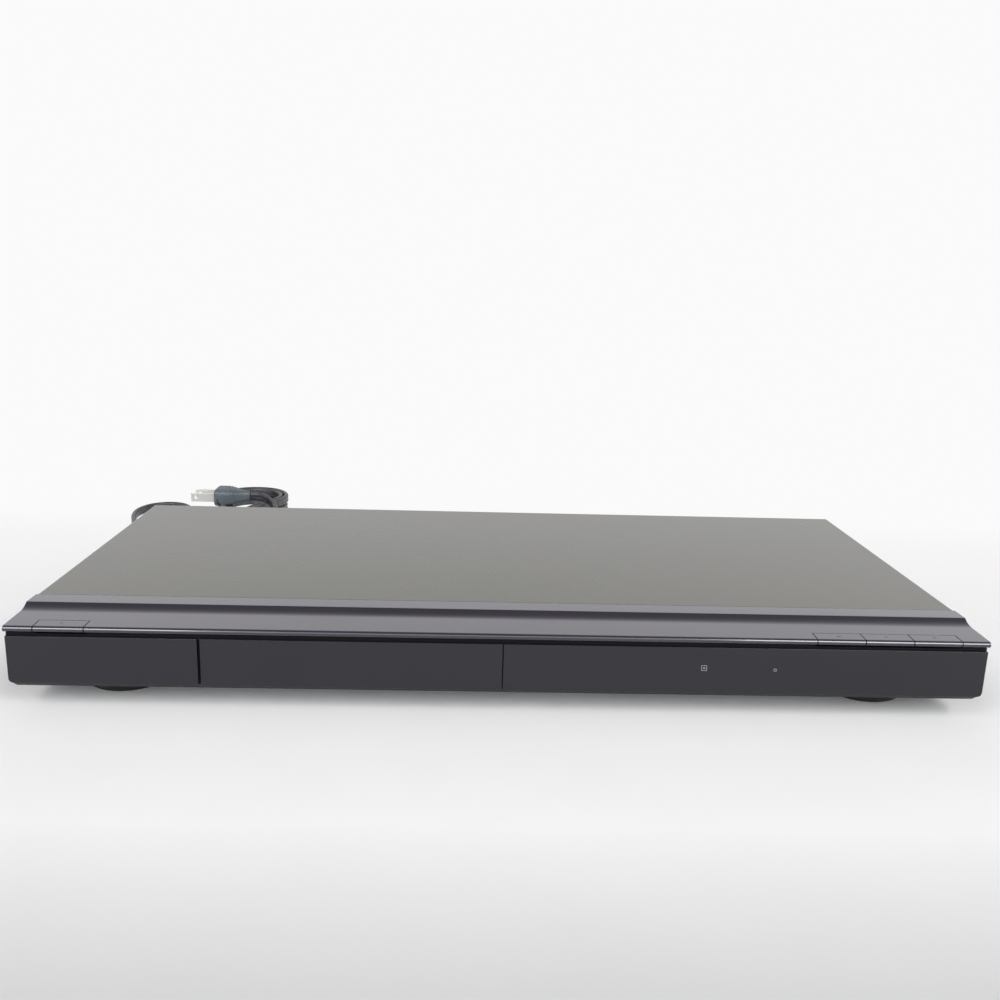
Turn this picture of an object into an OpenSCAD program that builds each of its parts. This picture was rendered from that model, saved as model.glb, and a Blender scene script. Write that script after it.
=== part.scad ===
// Slim disc player with a sliding disc tray, a belt-driven loader and a folded mains lead.
// Millimetres. X runs along the front, Y from front to back, Z up. The origin is on the floor
// under the middle of the player. The view is from the front, so left is -X.

/* [Case] */
// Width over the steel cover
body_w = 430; // [415:1:460]
// Depth from the nose of the front to the back edge of the cover
case_d = 205; // [200:1:240]
// Height from the underside of the chassis to the top of the cover
case_h = 34.5; // [34.5:0.5:44]
// Height of the feet
foot_h = 8.5; // [7.5:0.5:14]
// Thickness of the steel sheet
sheet_t = 0.8; // [0.6:0.1:1]
// How far the rear sockets stand out past the cover
jack_out = 7; // [5:0.5:9]

/* [Moulded front] */
// Depth of the moulded front, from the nose to the seam of the cover
bezel_d = 34.5; // [32:0.5:40]
// Depth of the key ledge, from the nose to the crisp edge of the step
ledge_d = 24.5; // [22:0.5:28]
// Drop from the top down to the key ledge
ledge_drop = 2.2; // [1.6:0.1:2.6]
// Radius of the concave sweep between ledge and step
sweep_r = 13; // [10:0.5:16]
// Radius of the rounded nose
nose_r = 1.4; // [1.2:0.1:1.6]
// Height of the shadow groove under the nose
groove_h = 1.9; // [1.5:0.1:2.3]
// Height from the underside of the chassis to the lower edge of the face
undercut_h = 5.9; // [4:0.1:7]
// Wall of the moulding
wall_t = 2; // [1.6:0.1:2.2]
// Thickness of the glossy face panels and the tray door
panel_t = 2.2; // [1.6:0.1:2.6]

/* [Tray door] */
// Place of the door's middle, from the middle of the player
door_x = -66.3; // [-72:0.1:-62]
// Width of the door
door_w = 131; // [131:0.5:138]
// Gap at the left end of the door
door_gap_l = 1.3; // [0.5:0.1:2]
// Gap at the right end of the door
door_gap_r = 0.5; // [0.4:0.1:1.5]

/* [Buttons] */
// Width of each button
button_w = 21.2; // [16:0.2:22]
// Depth of each button behind the nose
button_d = 8.2; // [7:0.1:10]
// Gap around each button
button_gap = 0.4; // [0.3:0.05:0.5]
// Distance from the end of the case to the nearest button
button_inset = 12.8; // [10:0.2:16]
// Travel of each button
button_travel = 0.6; // [0.4:0.1:0.6]

/* [Disc tray] */
// Diameter of the large disc recess
recess_dia = 121.4; // [121:0.2:123]
// Diameter of the small disc recess
small_recess_dia = 81.6; // [81:0.2:84]
// Width of the tray
tray_w = 128; // [127:0.5:130]
// Length of the tray
tray_l = 162; // [160:0.5:166]
// Height of the tray
tray_h = 6.8; // [6.4:0.1:7]
// Width of the slot for the pickup
slot_w = 34; // [33:0.5:36]
// How far the tray runs out
tray_travel = 134; // [130:0.5:135]

/* [Loader] */
// Running gap between sliding parts
run_gap = 0.3; // [0.2:0.05:0.4]
// Height of the tray's underside above the chassis floor
tray_lift = 16.5; // [16.5:0.1:18]
// Wall of the loader frame
frame_t = 2.6; // [2:0.1:3]
// Module of the tray gear and its rack
rack_m = 0.8; // [0.8:0.1:0.8]
// Module of the reduction gears
gear_m = 0.7; // [0.7:0.1:0.7]
// Play between the teeth, on the pitch circle
backlash = 0.12; // [0.08:0.01:0.2]
// Tilt of the pickup unit when it is lowered, in degrees
tilt_a = 3.8; // [3:0.1:3.8]
// Travel of the cam slider
cam_travel = 20; // [16:0.5:20]
// Travel of the pickup along its rods
sled_travel = 34; // [30:0.5:34]
// Diameter of the guide rods
rod_dia = 3; // [2.5:0.1:3.2]

/* [Rear sockets] */
// Outer diameter of a phono socket
phono_dia = 8.3; // [8:0.1:8.6]
// Distance between neighbouring phono sockets
phono_pitch = 14; // [13:0.5:16]

/* [Mains lead] */
// Width of the flat twin lead
cord_w = 6.4; // [5.6:0.1:7]
// Thickness of the flat twin lead
cord_t = 3.2; // [2.8:0.1:3.5]
// Gap between neighbouring turns of the folded lead
turn_gap = 0.6; // [0.5:0.05:0.8]

/* [Hidden] */
$fn = 48;

// ---- frame of the case ----
body_h = foot_h + case_h;
front_y = -(case_d + jack_out) / 2;
back_y = front_y + case_d;
half_w = body_w / 2;
deck_z = foot_h + sheet_t;
roof_z = body_h - sheet_t;
fit = 0.2;
panel_y = back_y - sheet_t - fit;
side_x = half_w - sheet_t - fit;
screw_r = 1.5;
steel = "#8f8f8c";
zinc = "#b9bbbd";
gloss_black = "#17171a";
satin_black = "#2b2b2f";
moulded_black = "#1d1d1f";

// ---- outline of the moulded front, measured back from the nose and up from the floor ----
nose_z = body_h - ledge_drop - 0.3 - nose_r;
nose_bot = nose_z - nose_r;
face_top = nose_bot - groove_h;
face_bot = foot_h + undercut_h;
face_set = 0.5;
skin_y = face_set + panel_t + 0.1;
ledge_z = body_h - ledge_drop;
sweep_a = acos(1 - ledge_drop / sweep_r);
sweep_y = ledge_d - sweep_r * sin(sweep_a);
under_y = 9;
lip_y = 13.5;
tongue = 3;

// ---- loader, tray and pickup unit ----
ld_x = door_x;
disc_y = front_y + 73;
tray_z = deck_z + tray_lift;
tray_top = tray_z + tray_h;
tray_y = front_y + skin_y + 1.8;
recess_z = tray_z + 1.8;
frame_x = tray_w / 2 + run_gap;
frame_top = tray_z + 12;
frame_y0 = front_y + 8;
frame_y1 = tray_y + tray_l + 4;
plate_z = tray_z - 8.6;
plate_t = 2;
plate_back = disc_y - 26.6;
gear_y = front_y + 29;
rack_teeth = 18;
rack_r = rack_m * rack_teeth / 2;
rack_x = tray_w / 2 - 11.8;
rack_h = 2.2;
big_teeth = 48;
big_r = gear_m * big_teeth / 2;
small_teeth = 14;
small_r = gear_m * small_teeth / 2;
drive_x = rack_x - rack_r;
pulley_x = drive_x - big_r - small_r;
pulley_r = 11;
motor_x = pulley_x - 37.4;
motor_pulley_r = 3.2;
motor_r = 12;
belt_t = 1;
belt_gap = 0.3;
belt_z = tray_z - 2.3;
pin_r = 1.5;
spin_gap = 0.06;
hinge_y = disc_y + 90;
hinge_z = tray_z - 5.8;
cam_y = disc_y - 24.8;
cam_t = 2.4;
cam_pin_x = 24;
cam_pin_z = tray_z - 5.3;
cam_drop = (hinge_y - cam_y + cam_t / 2) * sin(tilt_a);
trav_x = 50;
trav_y0 = disc_y - 20.5;
trav_z = tray_z - 4.4;
rod_x = 25;
rod_z = tray_z - 5.3;
rod_y0 = disc_y + 10;
rod_y1 = hinge_y - 5;
sled_y = disc_y + 24;
sled_m1 = 0.5;
sled_m2 = 0.4;
sled_mesh_a = 120;
sled_axis_x = -33.5;
sled_axis_y = disc_y + 45;
sled_r = sled_m1 * 16 / 2;
sled_big_r = sled_m2 * 44 / 2;
sled_pinion_r = sled_m2 * 12 / 2;
sled_motor_x = sled_axis_x + (sled_big_r + sled_pinion_r) * cos(sled_mesh_a);
sled_motor_y = sled_axis_y + (sled_big_r + sled_pinion_r) * sin(sled_mesh_a);
hub_z = tray_z + 1.2;
disc_z = tray_z + 3.2;
turntable_r = 15;
clamp_r = 13.5;

// ---- buttons ----
button_pitch = button_w + button_gap;
power_x = -half_w + button_inset + button_w / 2;
stop_x = half_w - button_inset - button_w / 2;
key_z = nose_bot - 7.3;
key_stem_y = 6.4;

// ---- boards ----
board_z = deck_z + 5.2;
board_t = 1.6;
power_w = 56;
power_l = 100;
power_bx = -side_x + 3.2;
power_by = panel_y - 4 - power_l;
main_w = 178;
main_l = 84;
main_bx = side_x - 4 - main_w;
main_by = panel_y - 3 - main_l;
socket_z = board_z + board_t + 7.5;
hdmi_x = main_bx + 150;
component_x = main_bx + 98;
line_x = main_bx + 42;
digital_x = main_bx + 16;

// ---- mains lead ----
exit_x = -half_w + 11;
exit_z = deck_z + 9.7;
grip_l = 22;
cord_pitch = cord_t + turn_gap + 0.4;
hank_x = -188;
hank_y0 = back_y + 61.5;
hank_y1 = hank_y0 + 96;
hank_r = 27.5;
waist_r = 9.6;
lay_z = cord_w / 2;
lift_z = cord_w + turn_gap;
plug_y = back_y + 122;
plug_z = cord_w + lift_z + 6.9;
plug_x = -182;
// Route of the free lead from the grip to the first fold, lying on its narrow edge
cord_route = [[-204, 121, 19], [-204, 128, 18.9], [-205.6, 140, 18.6], [-210, 152, 18.1],
    [-218.5, 162, 17], [-229, 170.5, 12.5], [-241, 178.5, 7.4], [-255, 188, 3.8],
    [-267, 201, 3.2], [-274, 218, 3.2], [-274, 235, 3.2], [-266, 249, 3.2], [-252, 257, 3.2],
    [-237, 254, 3.2], [-226, 243, 3.2], [-220, 228, 3.2], [-218, 210, 3.2],
    [-216.5, 190, 3.2], [-215.5, 172, 3.2], [-215.5, 160.5, 3.2]];

// ---------------------------------------------------------------- helpers
function arc(cx, cy, r, a0, a1, n) =
    [for (i = [0:n]) let (a = a0 + (a1 - a0) * i / n) [cx + r * cos(a), cy + r * sin(a)]];

// Draws an outline of (depth, height) points and runs it along X from x0 to x1
module along_x(x0, x1, y0 = 0) {
    translate([x0, y0, 0])
        rotate([90, 0, 90])
            linear_extrude(x1 - x0)
                children();
}

// Draws an outline of (x, height) points and gives it a thickness t, going back from y0
module upright(y0, t) {
    translate([0, y0 + t, 0])
        rotate([90, 0, 0])
            linear_extrude(t)
                children();
}

// Box between two corners
module box(a, b) {
    translate(a)
        cube(b - a);
}

// Cylinder along Z from z0 to z1
module post(p, r, z0, z1) {
    translate([p[0], p[1], z0])
        cylinder(h = z1 - z0, r = r);
}

// Cylinder along Y from y0 to y1
module bar_y(x, z, r, y0, y1) {
    translate([x, y0, z])
        rotate([-90, 0, 0])
            cylinder(h = y1 - y0, r = r);
}

// Cylinder along X from x0 to x1
module bar_x(y, z, r, x0, x1) {
    translate([x0, y, z])
        rotate([0, 90, 0])
            cylinder(h = x1 - x0, r = r);
}

// Flat plate with rounded corners
module plate(a, b, r, z0, z1) {
    translate([0, 0, z0])
        linear_extrude(z1 - z0)
            union() {
                translate([a[0] + r, a[1]])
                    square([b[0] - a[0] - 2 * r, b[1] - a[1]]);
                translate([a[0], a[1] + r])
                    square([b[0] - a[0], b[1] - a[1] - 2 * r]);
                for (x = [a[0] + r, b[0] - r], y = [a[1] + r, b[1] - r])
                    translate([x, y])
                        circle(r);
            }
}

// Pan-head screw, head up: shank down from z by length l
module screw(p, z, l, r = screw_r) {
    post(p, r, z - l, z);
    difference() {
        post(p, r * 1.9, z, z + r * 1.1);
        for (a = [0, 90])
            translate([p[0], p[1], z + r * 1.1])
                rotate(a)
                    cube([r * 2, r * 0.4, r], center = true);
    }
}

// Half the angle that an involute tooth fills at radius r, for pitch radius rp and base radius rb
function inv(rp, r) = let (rb = rp * cos(20), c = min(1, rb / r)) tan(acos(c)) * 180 / PI - acos(c);
function tooth_half(m, z, r) =
    90 / z - backlash / (m * z) * 90 / PI + inv(m * z / 2, m * z / 2) - inv(m * z / 2, r);

// Involute gear outline, one tooth centred on +X
module gear_outline(m, z) {
    rp = m * z / 2;
    rt = rp + 0.85 * m;
    rr = rp - 1.1 * m;
    rb = max(rp * cos(20), rr + 0.02);
    steps = 4;
    flank = [for (i = [0:steps]) rb + (rt - rb) * i / steps];
    polygon([for (k = [0:z - 1]) let (a = 360 * k / z) each concat(
        [[rr * cos(a - 180 / z), rr * sin(a - 180 / z)],
         [rr * cos(a - tooth_half(m, z, rb)), rr * sin(a - tooth_half(m, z, rb))]],
        [for (r = flank) [r * cos(a - tooth_half(m, z, r)), r * sin(a - tooth_half(m, z, r))]],
        [for (i = [steps:-1:0]) let (r = flank[i])
            [r * cos(a + tooth_half(m, z, r)), r * sin(a + tooth_half(m, z, r))]],
        [[rr * cos(a + tooth_half(m, z, rb)), rr * sin(a + tooth_half(m, z, rb))]])]);
}

module gear(p, m, z, z0, z1, turn = 0) {
    translate([p[0], p[1], z0])
        rotate(turn)
            linear_extrude(z1 - z0)
                gear_outline(m, z);
}

// Straight rack along Y, teeth towards -X, pitch line on x = 0, a space centred on y = at
module rack_outline(m, y0, y1, at, back) {
    p = PI * m;
    half = (p / 2 - backlash) / 2;
    n0 = ceil((y0 - at) / p - 0.5 + 0.5);
    n1 = floor((y1 - at) / p - 1.5 + 0.5);
    slope = tan(20);
    tip = 0.85 * m;
    root = 1.1 * m;
    union() {
        translate([root, y0])
            square([back - root, y1 - y0]);
        for (n = [n0:n1])
            let (c = at + (n + 0.5) * p)
                polygon([[root + 0.1, c - half - (root + 0.1) * slope], [-tip, c - half + tip * slope],
                    [-tip, c + half - tip * slope], [root + 0.1, c + half + (root + 0.1) * slope]]);
    }
}

// ---------------------------------------------------------------- case
// Stamped steel pan that carries everything: floor, side flanges, beads, boss seats and vents
foot_spots = [[177, front_y + 43.5], [177, back_y - 30]];
chassis_y0 = front_y + lip_y + 0.5;
flange_h = 13;
side_screw_y = [front_y + bezel_d + 20, back_y - 22];
power_posts = [for (x = [5, power_w - 5], y = [5, power_l - 5]) [power_bx + x, power_by + y]];
main_posts = [for (x = [5, main_w / 2, main_w - 5], y = [5, main_l - 22])
    [main_bx + x, main_by + y]];
ear_x = frame_x + frame_t + 4.4;
loader_posts = [for (s = [-1, 1], y = [disc_y - 36, disc_y + 84]) [ld_x + s * ear_x, y]];
rear_posts = [for (x = [-150, -30, 60, 185]) [x * half_w / 215, panel_y - sheet_t - 4.5]];

module bottom_chassis() {
    color(zinc)
        difference() {
            union() {
                box([-side_x, chassis_y0, foot_h], [side_x, panel_y - sheet_t - fit, deck_z]);
                for (s = [-1, 1])
                    mirror([s < 0 ? 1 : 0, 0, 0])
                        box([side_x - sheet_t, front_y + bezel_d + 2, foot_h],
                            [side_x, panel_y - sheet_t - fit, foot_h + flange_h]);
                box([-side_x, chassis_y0, foot_h], [side_x, chassis_y0 + sheet_t, foot_h + 5]);
                for (p = concat(power_posts, main_posts))
                    post(p, 3.2, deck_z - 0.1, board_z);
                for (x = [-half_w + 66, ld_x, 40, 110])
                    bead(x, disc_y + 8, disc_y + 60);
            }
            for (p = concat(power_posts, main_posts))
                post(p, 1.2, foot_h - 1, board_z + 1);
            for (p = concat(loader_posts, rear_posts))
                post(p, 1.2, foot_h - 1, deck_z + 1);
            for (s = [-1, 1], p = foot_spots)
                post([s * p[0] * half_w / 215, p[1]], 1.7, foot_h - 1, deck_z + 1);
            for (s = [-1, 1], y = side_screw_y)
                bar_x(y, foot_h + 9, 1.2, s * half_w - 4, s * half_w + 4);
            for (i = [0:9])
                plate([power_bx + 8, power_by + 10 + 8 * i], [power_bx + 34, power_by + 13 + 8 * i],
                    1.4, foot_h - 1, deck_z + 1);
            // narrower between the side walls of the front
            for (s = [-1, 1])
                mirror([s < 0 ? 1 : 0, 0, 0])
                    box([half_w - wall_t - 2 * fit, chassis_y0 - 1, foot_h - 1],
                        [half_w, front_y + bezel_d + 1, foot_h + flange_h]);
        }
}

// Stiffening bead pressed up into the floor
module bead(x, y0, y1) {
    intersection() {
        union() {
            bar_y(x, deck_z - 1.2, 2.2, y0, y1);
            translate([x, y0, deck_z - 1.2])
                sphere(2.2);
            translate([x, y1, deck_z - 1.2])
                sphere(2.2);
        }
        box([x - 5, y0 - 5, foot_h + 0.1], [x + 5, y1 + 5, deck_z + 2]);
    }
}

// Steel back with the cut-outs for the sockets, the lead and the warm air
module rear_panel() {
    color(zinc)
        difference() {
            union() {
                box([-side_x + sheet_t + fit, panel_y - sheet_t, deck_z + 0.05],
                    [side_x - sheet_t - fit, panel_y, roof_z - fit]);
                box([-side_x + sheet_t + fit, panel_y - 9, deck_z + 0.05],
                    [side_x - sheet_t - fit, panel_y, deck_z + sheet_t]);
                for (s = [-1, 1])
                    mirror([s < 0 ? 1 : 0, 0, 0])
                        box([side_x - 2 * sheet_t - fit, panel_y - 10, deck_z + 0.05],
                            [side_x - sheet_t - fit, panel_y, roof_z - 6]);
            }
            upright(panel_y - 3, 6)
                union() {
                    translate([exit_x - 5.6, exit_z - 4.6])
                        square([11.2, 9.2]);
                    translate([hdmi_x - 8, socket_z - 6.6])
                        square([16, 7]);
                }
            for (x = phono_x)
                bar_y(x, socket_z, phono_dia / 2 + 0.4, panel_y - 3, panel_y + 3);
            for (p = rear_posts)
                post(p, 1.7, deck_z - 1, deck_z + 3);
            for (p = power_posts)
                post(p, 3.8, deck_z - 1, deck_z + 3);
            for (x = cover_screw_x)
                bar_y(x, roof_z - 4, 1.2, panel_y - 3, panel_y + 3);
            for (i = [0:11])
                upright(panel_y - 3, 6)
                    translate([ld_x - 40 + 6 * i, deck_z + 8])
                        square([2.4, 14]);
        }
}
cover_screw_x = [-half_w + 40, 10, half_w - 40];
phono_x = concat([for (i = [0:2]) component_x + (i - 1) * phono_pitch],
    [for (i = [0:2]) line_x + (i - 1) * phono_pitch], [digital_x - phono_pitch / 2]);

// Folded steel cover: top, rounded edges, sides and a lip down over the rear panel
module top_cover() {
    r = 1.6;
    color(steel)
        difference() {
            union() {
                translate([0, back_y, 0])
                    rotate([90, 0, 0])
                        linear_extrude(case_d - bezel_d - 0.3)
                            difference() {
                                union() {
                                    translate([-half_w, foot_h])
                                        square([body_w, case_h - r]);
                                    translate([-half_w + r, foot_h])
                                        square([body_w - 2 * r, case_h]);
                                    for (s = [-1, 1])
                                        translate([s * (half_w - r), body_h - r])
                                            circle(r);
                                }
                                translate([-half_w + sheet_t, foot_h - 1])
                                    square([body_w - 2 * sheet_t, case_h - r + 1]);
                                translate([-half_w + r, foot_h - 1])
                                    square([body_w - 2 * r, case_h + 1 - sheet_t]);
                                for (s = [-1, 1])
                                    translate([s * (half_w - r), body_h - r])
                                        circle(r - sheet_t);
                            }
                box([-half_w + 3, back_y - sheet_t, roof_z - 8], [half_w - 3, back_y, body_h - 0.2]);
            }
            for (s = [-1, 1], y = side_screw_y)
                bar_x(y, foot_h + 9, 1.7, s * half_w - 4, s * half_w + 4);
            for (x = cover_screw_x)
                bar_y(x, roof_z - 4, 1.7, back_y - 3, back_y + 3);
        }
}

// ---------------------------------------------------------------- moulded front
function nose_points() = arc(nose_r, nose_z, nose_r, 90, 270, 10);
function ledge_at(y) = nose_z + nose_r + (ledge_z - nose_z - nose_r) * (y - nose_r) / (sweep_y - nose_r);
function bezel_outer() = concat([[bezel_d, body_h]], bezel_sweep(), nose_points(),
    [[skin_y, nose_bot], [skin_y, face_bot - 0.4], [under_y, foot_h + 1], [lip_y - 1, foot_h + 0.1]]);
function bezel_sweep() = [for (i = [0:8]) let (a = sweep_a * (8 - i) / 8)
    [sweep_y + sweep_r * sin(a), ledge_z + sweep_r * (1 - cos(a))]];

module bezel_shell() {
    polygon(concat(bezel_outer(), [[lip_y, foot_h + 0.1], [lip_y, foot_h + wall_t],
        [under_y + 0.8, foot_h + wall_t + 1], [skin_y + wall_t, face_bot + 1.2],
        [skin_y + wall_t, nose_bot + 0.8], [skin_y + wall_t + 0.8, nose_bot + 0.8],
        [sweep_y + 1, ledge_z - wall_t], [ledge_d + 1, body_h - wall_t],
        [bezel_d + tongue, body_h - wall_t], [bezel_d + tongue, roof_z - fit],
        [bezel_d, roof_z - fit]]));
}

module front_bezel() {
    color(satin_black)
        difference() {
            union() {
                along_x(-half_w, half_w, front_y)
                    bezel_shell();
                for (s = [-1, 1])
                    mirror([s < 0 ? 1 : 0, 0, 0])
                        along_x(half_w - wall_t, half_w, front_y)
                            polygon(concat(bezel_outer(),
                                [[bezel_d, foot_h + 0.1], [bezel_d, body_h]]));
                for (x = hook_x)
                    bezel_hook(x);
                for (x = concat([for (s = [-1, 1]) power_x + s * 8], [stop_x + 6, stop_x - 38]))
                    post([x, front_y + 15], 2.4, key_z + board_t, ledge_z - 1);
                for (p = front_board_posts)
                    bar_y(p[0], p[1], 2.2, front_y + skin_y + 1, front_y + 8);
            }
            // ends of the tongue, clear of the cover's folded edges
            for (s = [-1, 1])
                mirror([s < 0 ? 1 : 0, 0, 0])
                    box([half_w - 2.6, front_y + bezel_d, body_h - wall_t - 1],
                        [half_w + 1, front_y + bezel_d + tongue + 1, body_h]);
            // room for the buttons
            box([power_x - button_w / 2 - button_gap, front_y - 1, nose_bot - 1.2],
                [power_x + button_w / 2 + button_gap, front_y + button_d, body_h]);
            box([stop_x - button_w / 2 - 2 * button_pitch - button_gap, front_y - 1, nose_bot - 1.2],
                [stop_x + button_w / 2 + button_gap, front_y + button_d, body_h]);
            // mouth for the tray
            box([ld_x - tray_w / 2 - 1, front_y + skin_y - 1, tray_z - 6],
                [ld_x + tray_w / 2 + 1, front_y + skin_y + 5, tray_top + 1.4]);
            // display, receiver and indicator windows
            box([display_x - 29, front_y + skin_y - 1, display_z - 5],
                [display_x + 29, front_y + skin_y + 3, display_z + 5]);
            bar_y(ir_x, display_z + 1.5, 4, front_y + skin_y - 1, front_y + skin_y + 3);
            bar_y(led_x, display_z + 1.5, 1.7, front_y + skin_y - 1, front_y + skin_y + 3);
            for (x = concat([for (s = [-1, 1]) power_x + s * 8], [stop_x + 6, stop_x - 38]))
                post([x, front_y + 15], 1, key_z - 1, ledge_z - 3);
            for (p = front_board_posts)
                bar_y(p[0], p[1], 0.9, front_y + skin_y + 2.6, front_y + 9);
        }
}
hook_x = [-half_w + 22, -half_w + 62, 30, 100, half_w - 30];
display_x = half_w - 168;
display_z = face_bot + 10.3;
ir_x = half_w - 126.7;
led_x = half_w - 95;
front_board_posts = [for (x = [12, half_w - 85, half_w - 19]) [x, face_bot + 5]];

// Snap hook that reaches over the chassis flange
module bezel_hook(x) {
    translate([x - 5, front_y, 0])
        box([0, skin_y + wall_t - 0.2, foot_h + 5.3], [10, lip_y + 3.4, foot_h + 7]);
    translate([x - 5, front_y, 0])
        box([0, lip_y + 1.6, foot_h + 3], [10, lip_y + 3.4, foot_h + 7]);
}

// Outline of a face panel with its lower outer corner rounded
module face_outline(x0, x1, r0, r1) {
    polygon(concat([[x1, face_top], [x0, face_top]],
        r0 > 0 ? arc(x0 + r0, face_bot + r0, r0, 180, 270, 6) : [[x0, face_bot]],
        r1 > 0 ? arc(x1 - r1, face_bot + r1, r1, 270, 360, 6) : [[x1, face_bot]]));
}

module left_face_panel() {
    color(gloss_black)
        upright(front_y + face_set, panel_t)
            face_outline(-half_w + 0.5, ld_x - door_w / 2 - door_gap_l, 2, 0);
}

module display_window() {
    color(gloss_black)
        upright(front_y + face_set, panel_t)
            face_outline(ld_x + door_w / 2 + door_gap_r, half_w - 0.5, 0, 2);
}

module tray_door() {
    color(gloss_black) {
        upright(front_y + face_set, panel_t)
            face_outline(ld_x - door_w / 2, ld_x + door_w / 2, 0, 0);
        for (x = [-52, -18, 18, 52])
            box([ld_x + x - 6, front_y + face_set + panel_t - 0.1, tray_z + 1],
                [ld_x + x + 6, tray_y, tray_z + 4.5]);
        box([ld_x - 60, front_y + face_set + panel_t - 0.1, tray_z - 0.5],
            [ld_x + 60, tray_y - 0.4, tray_z + 1.3]);
    }
}

// Key cap: the same nose and ledge outline as the front, with a stem over its switch
module key_cap(x) {
    color(satin_black) {
        along_x(x - button_w / 2, x + button_w / 2, front_y)
            polygon(concat([[button_d - button_gap, ledge_at(button_d)]], nose_points(),
                [[skin_y + wall_t - 0.4, nose_bot], [skin_y + wall_t - 0.4, ledge_z - 2],
                 [button_d - button_gap, ledge_z - 2]]));
        post([x, front_y + key_stem_y], 1.3, key_z + board_t + 4.9, ledge_z - 1.5);
    }
}
module power_button() { key_cap(power_x); }
module open_button() { key_cap(stop_x - 2 * button_pitch); }
module play_button() { key_cap(stop_x - button_pitch); }
module stop_button() { key_cap(stop_x); }

key_centres = [power_x, stop_x - 2 * button_pitch, stop_x - button_pitch, stop_x];
module key_boards() {
    color("#3f6b3a")
        difference() {
            union() {
                box([power_x - 12, front_y + skin_y + wall_t + 0.3, key_z],
                    [power_x + 12, front_y + 19, key_z + board_t]);
                box([stop_x - 56, front_y + skin_y + wall_t + 0.3, key_z],
                    [stop_x + 10.5, front_y + 19, key_z + board_t]);
            }
            for (x = concat([for (s = [-1, 1]) power_x + s * 8], [stop_x + 6, stop_x - 38]))
                post([x, front_y + 15], 1.1, key_z - 1, key_z + 3);
        }
}
module key_switches() {
    for (x = key_centres) {
        color("#c9cacb")
            box([x - 3, front_y + key_stem_y - 1.2, key_z + board_t],
                [x + 3, front_y + key_stem_y + 4.8, key_z + board_t + 3.4]);
        color("#202020")
            post([x, front_y + key_stem_y], 1.1, key_z + board_t + 3.3, key_z + board_t + 4.1);
    }
}

module front_board() {
    color("#3f6b3a")
        difference() {
            box([6, front_y + 8, face_bot + 1.5], [half_w - 9, front_y + 9.6, key_z - 0.8]);
            for (p = front_board_posts)
                bar_y(p[0], p[1], 1.1, front_y + 7, front_y + 11);
        }
}
// Glass display tube in its holder, behind the smoked window
module display_module() {
    y0 = front_y + skin_y + wall_t + 0.2;
    color("#30363a")
        difference() {
            box([display_x - 28, y0, display_z - 5.8], [display_x + 28, front_y + 8, display_z + 5.8]);
            box([display_x - 25, y0 - 1, display_z - 4], [display_x + 25, y0 + 0.6, display_z + 4]);
        }
}
module ir_receiver() {
    color("#1a1416") {
        box([ir_x - 3.6, front_y + 6, display_z - 3], [ir_x + 3.6, front_y + 8, display_z + 5]);
        bar_y(ir_x, display_z + 1.5, 2.4, front_y + 4.9, front_y + 6.1);
    }
    color("#c8402a")
        bar_y(led_x, display_z + 1.5, 1.4, front_y + 4.4, front_y + 8);
}

// ---------------------------------------------------------------- feet
module foot(x, y, r) {
    difference() {
        translate([x, y, 0])
            rotate_extrude()
                polygon([[0, foot_h - 2.2], [r - 2.6, foot_h - 2.2], [r - 2.6, 0.8], [r - 1.2, 0.8],
                    [r, 2.4], [r, foot_h], [0, foot_h]]);
        post([x, y], 1.7, foot_h - 4, foot_h + 1);
    }
    difference() {
        post([x, y], 4, 1.6, foot_h - 2);
        post([x, y], 1.7, 0, foot_h);
        post([x, y], 3.2, 0, foot_h - 3.4);
    }
}
front_foot_r = 20.5;
rear_foot_r = 12;
module front_feet() {
    color("#242427")
        for (s = [-1, 1])
            foot(s * foot_spots[0][0] * half_w / 215, foot_spots[0][1], front_foot_r);
}
module rear_feet() {
    color("#242427")
        for (s = [-1, 1])
            foot(s * foot_spots[1][0] * half_w / 215, foot_spots[1][1], rear_foot_r);
}
// Felt rings that the player stands on
module foot_pads() {
    color("#39393a")
        for (s = [-1, 1], i = [0, 1])
            let (r = i == 0 ? front_foot_r : rear_foot_r, p = foot_spots[i])
                difference() {
                    post([s * p[0] * half_w / 215, p[1]], r - 1.4, 0, 0.8);
                    post([s * p[0] * half_w / 215, p[1]], r - 2.6, -1, 2);
                }
}

// ---------------------------------------------------------------- loader
// Outline of a belt stretched over two wheels that are d apart
module belt_outline(r0, r1, d) {
    a = acos((r0 - r1) / d);
    polygon(concat(arc(0, 0, r0, a, 360 - a, 20), arc(d, 0, r1, -a, a, 28)));
}

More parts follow.
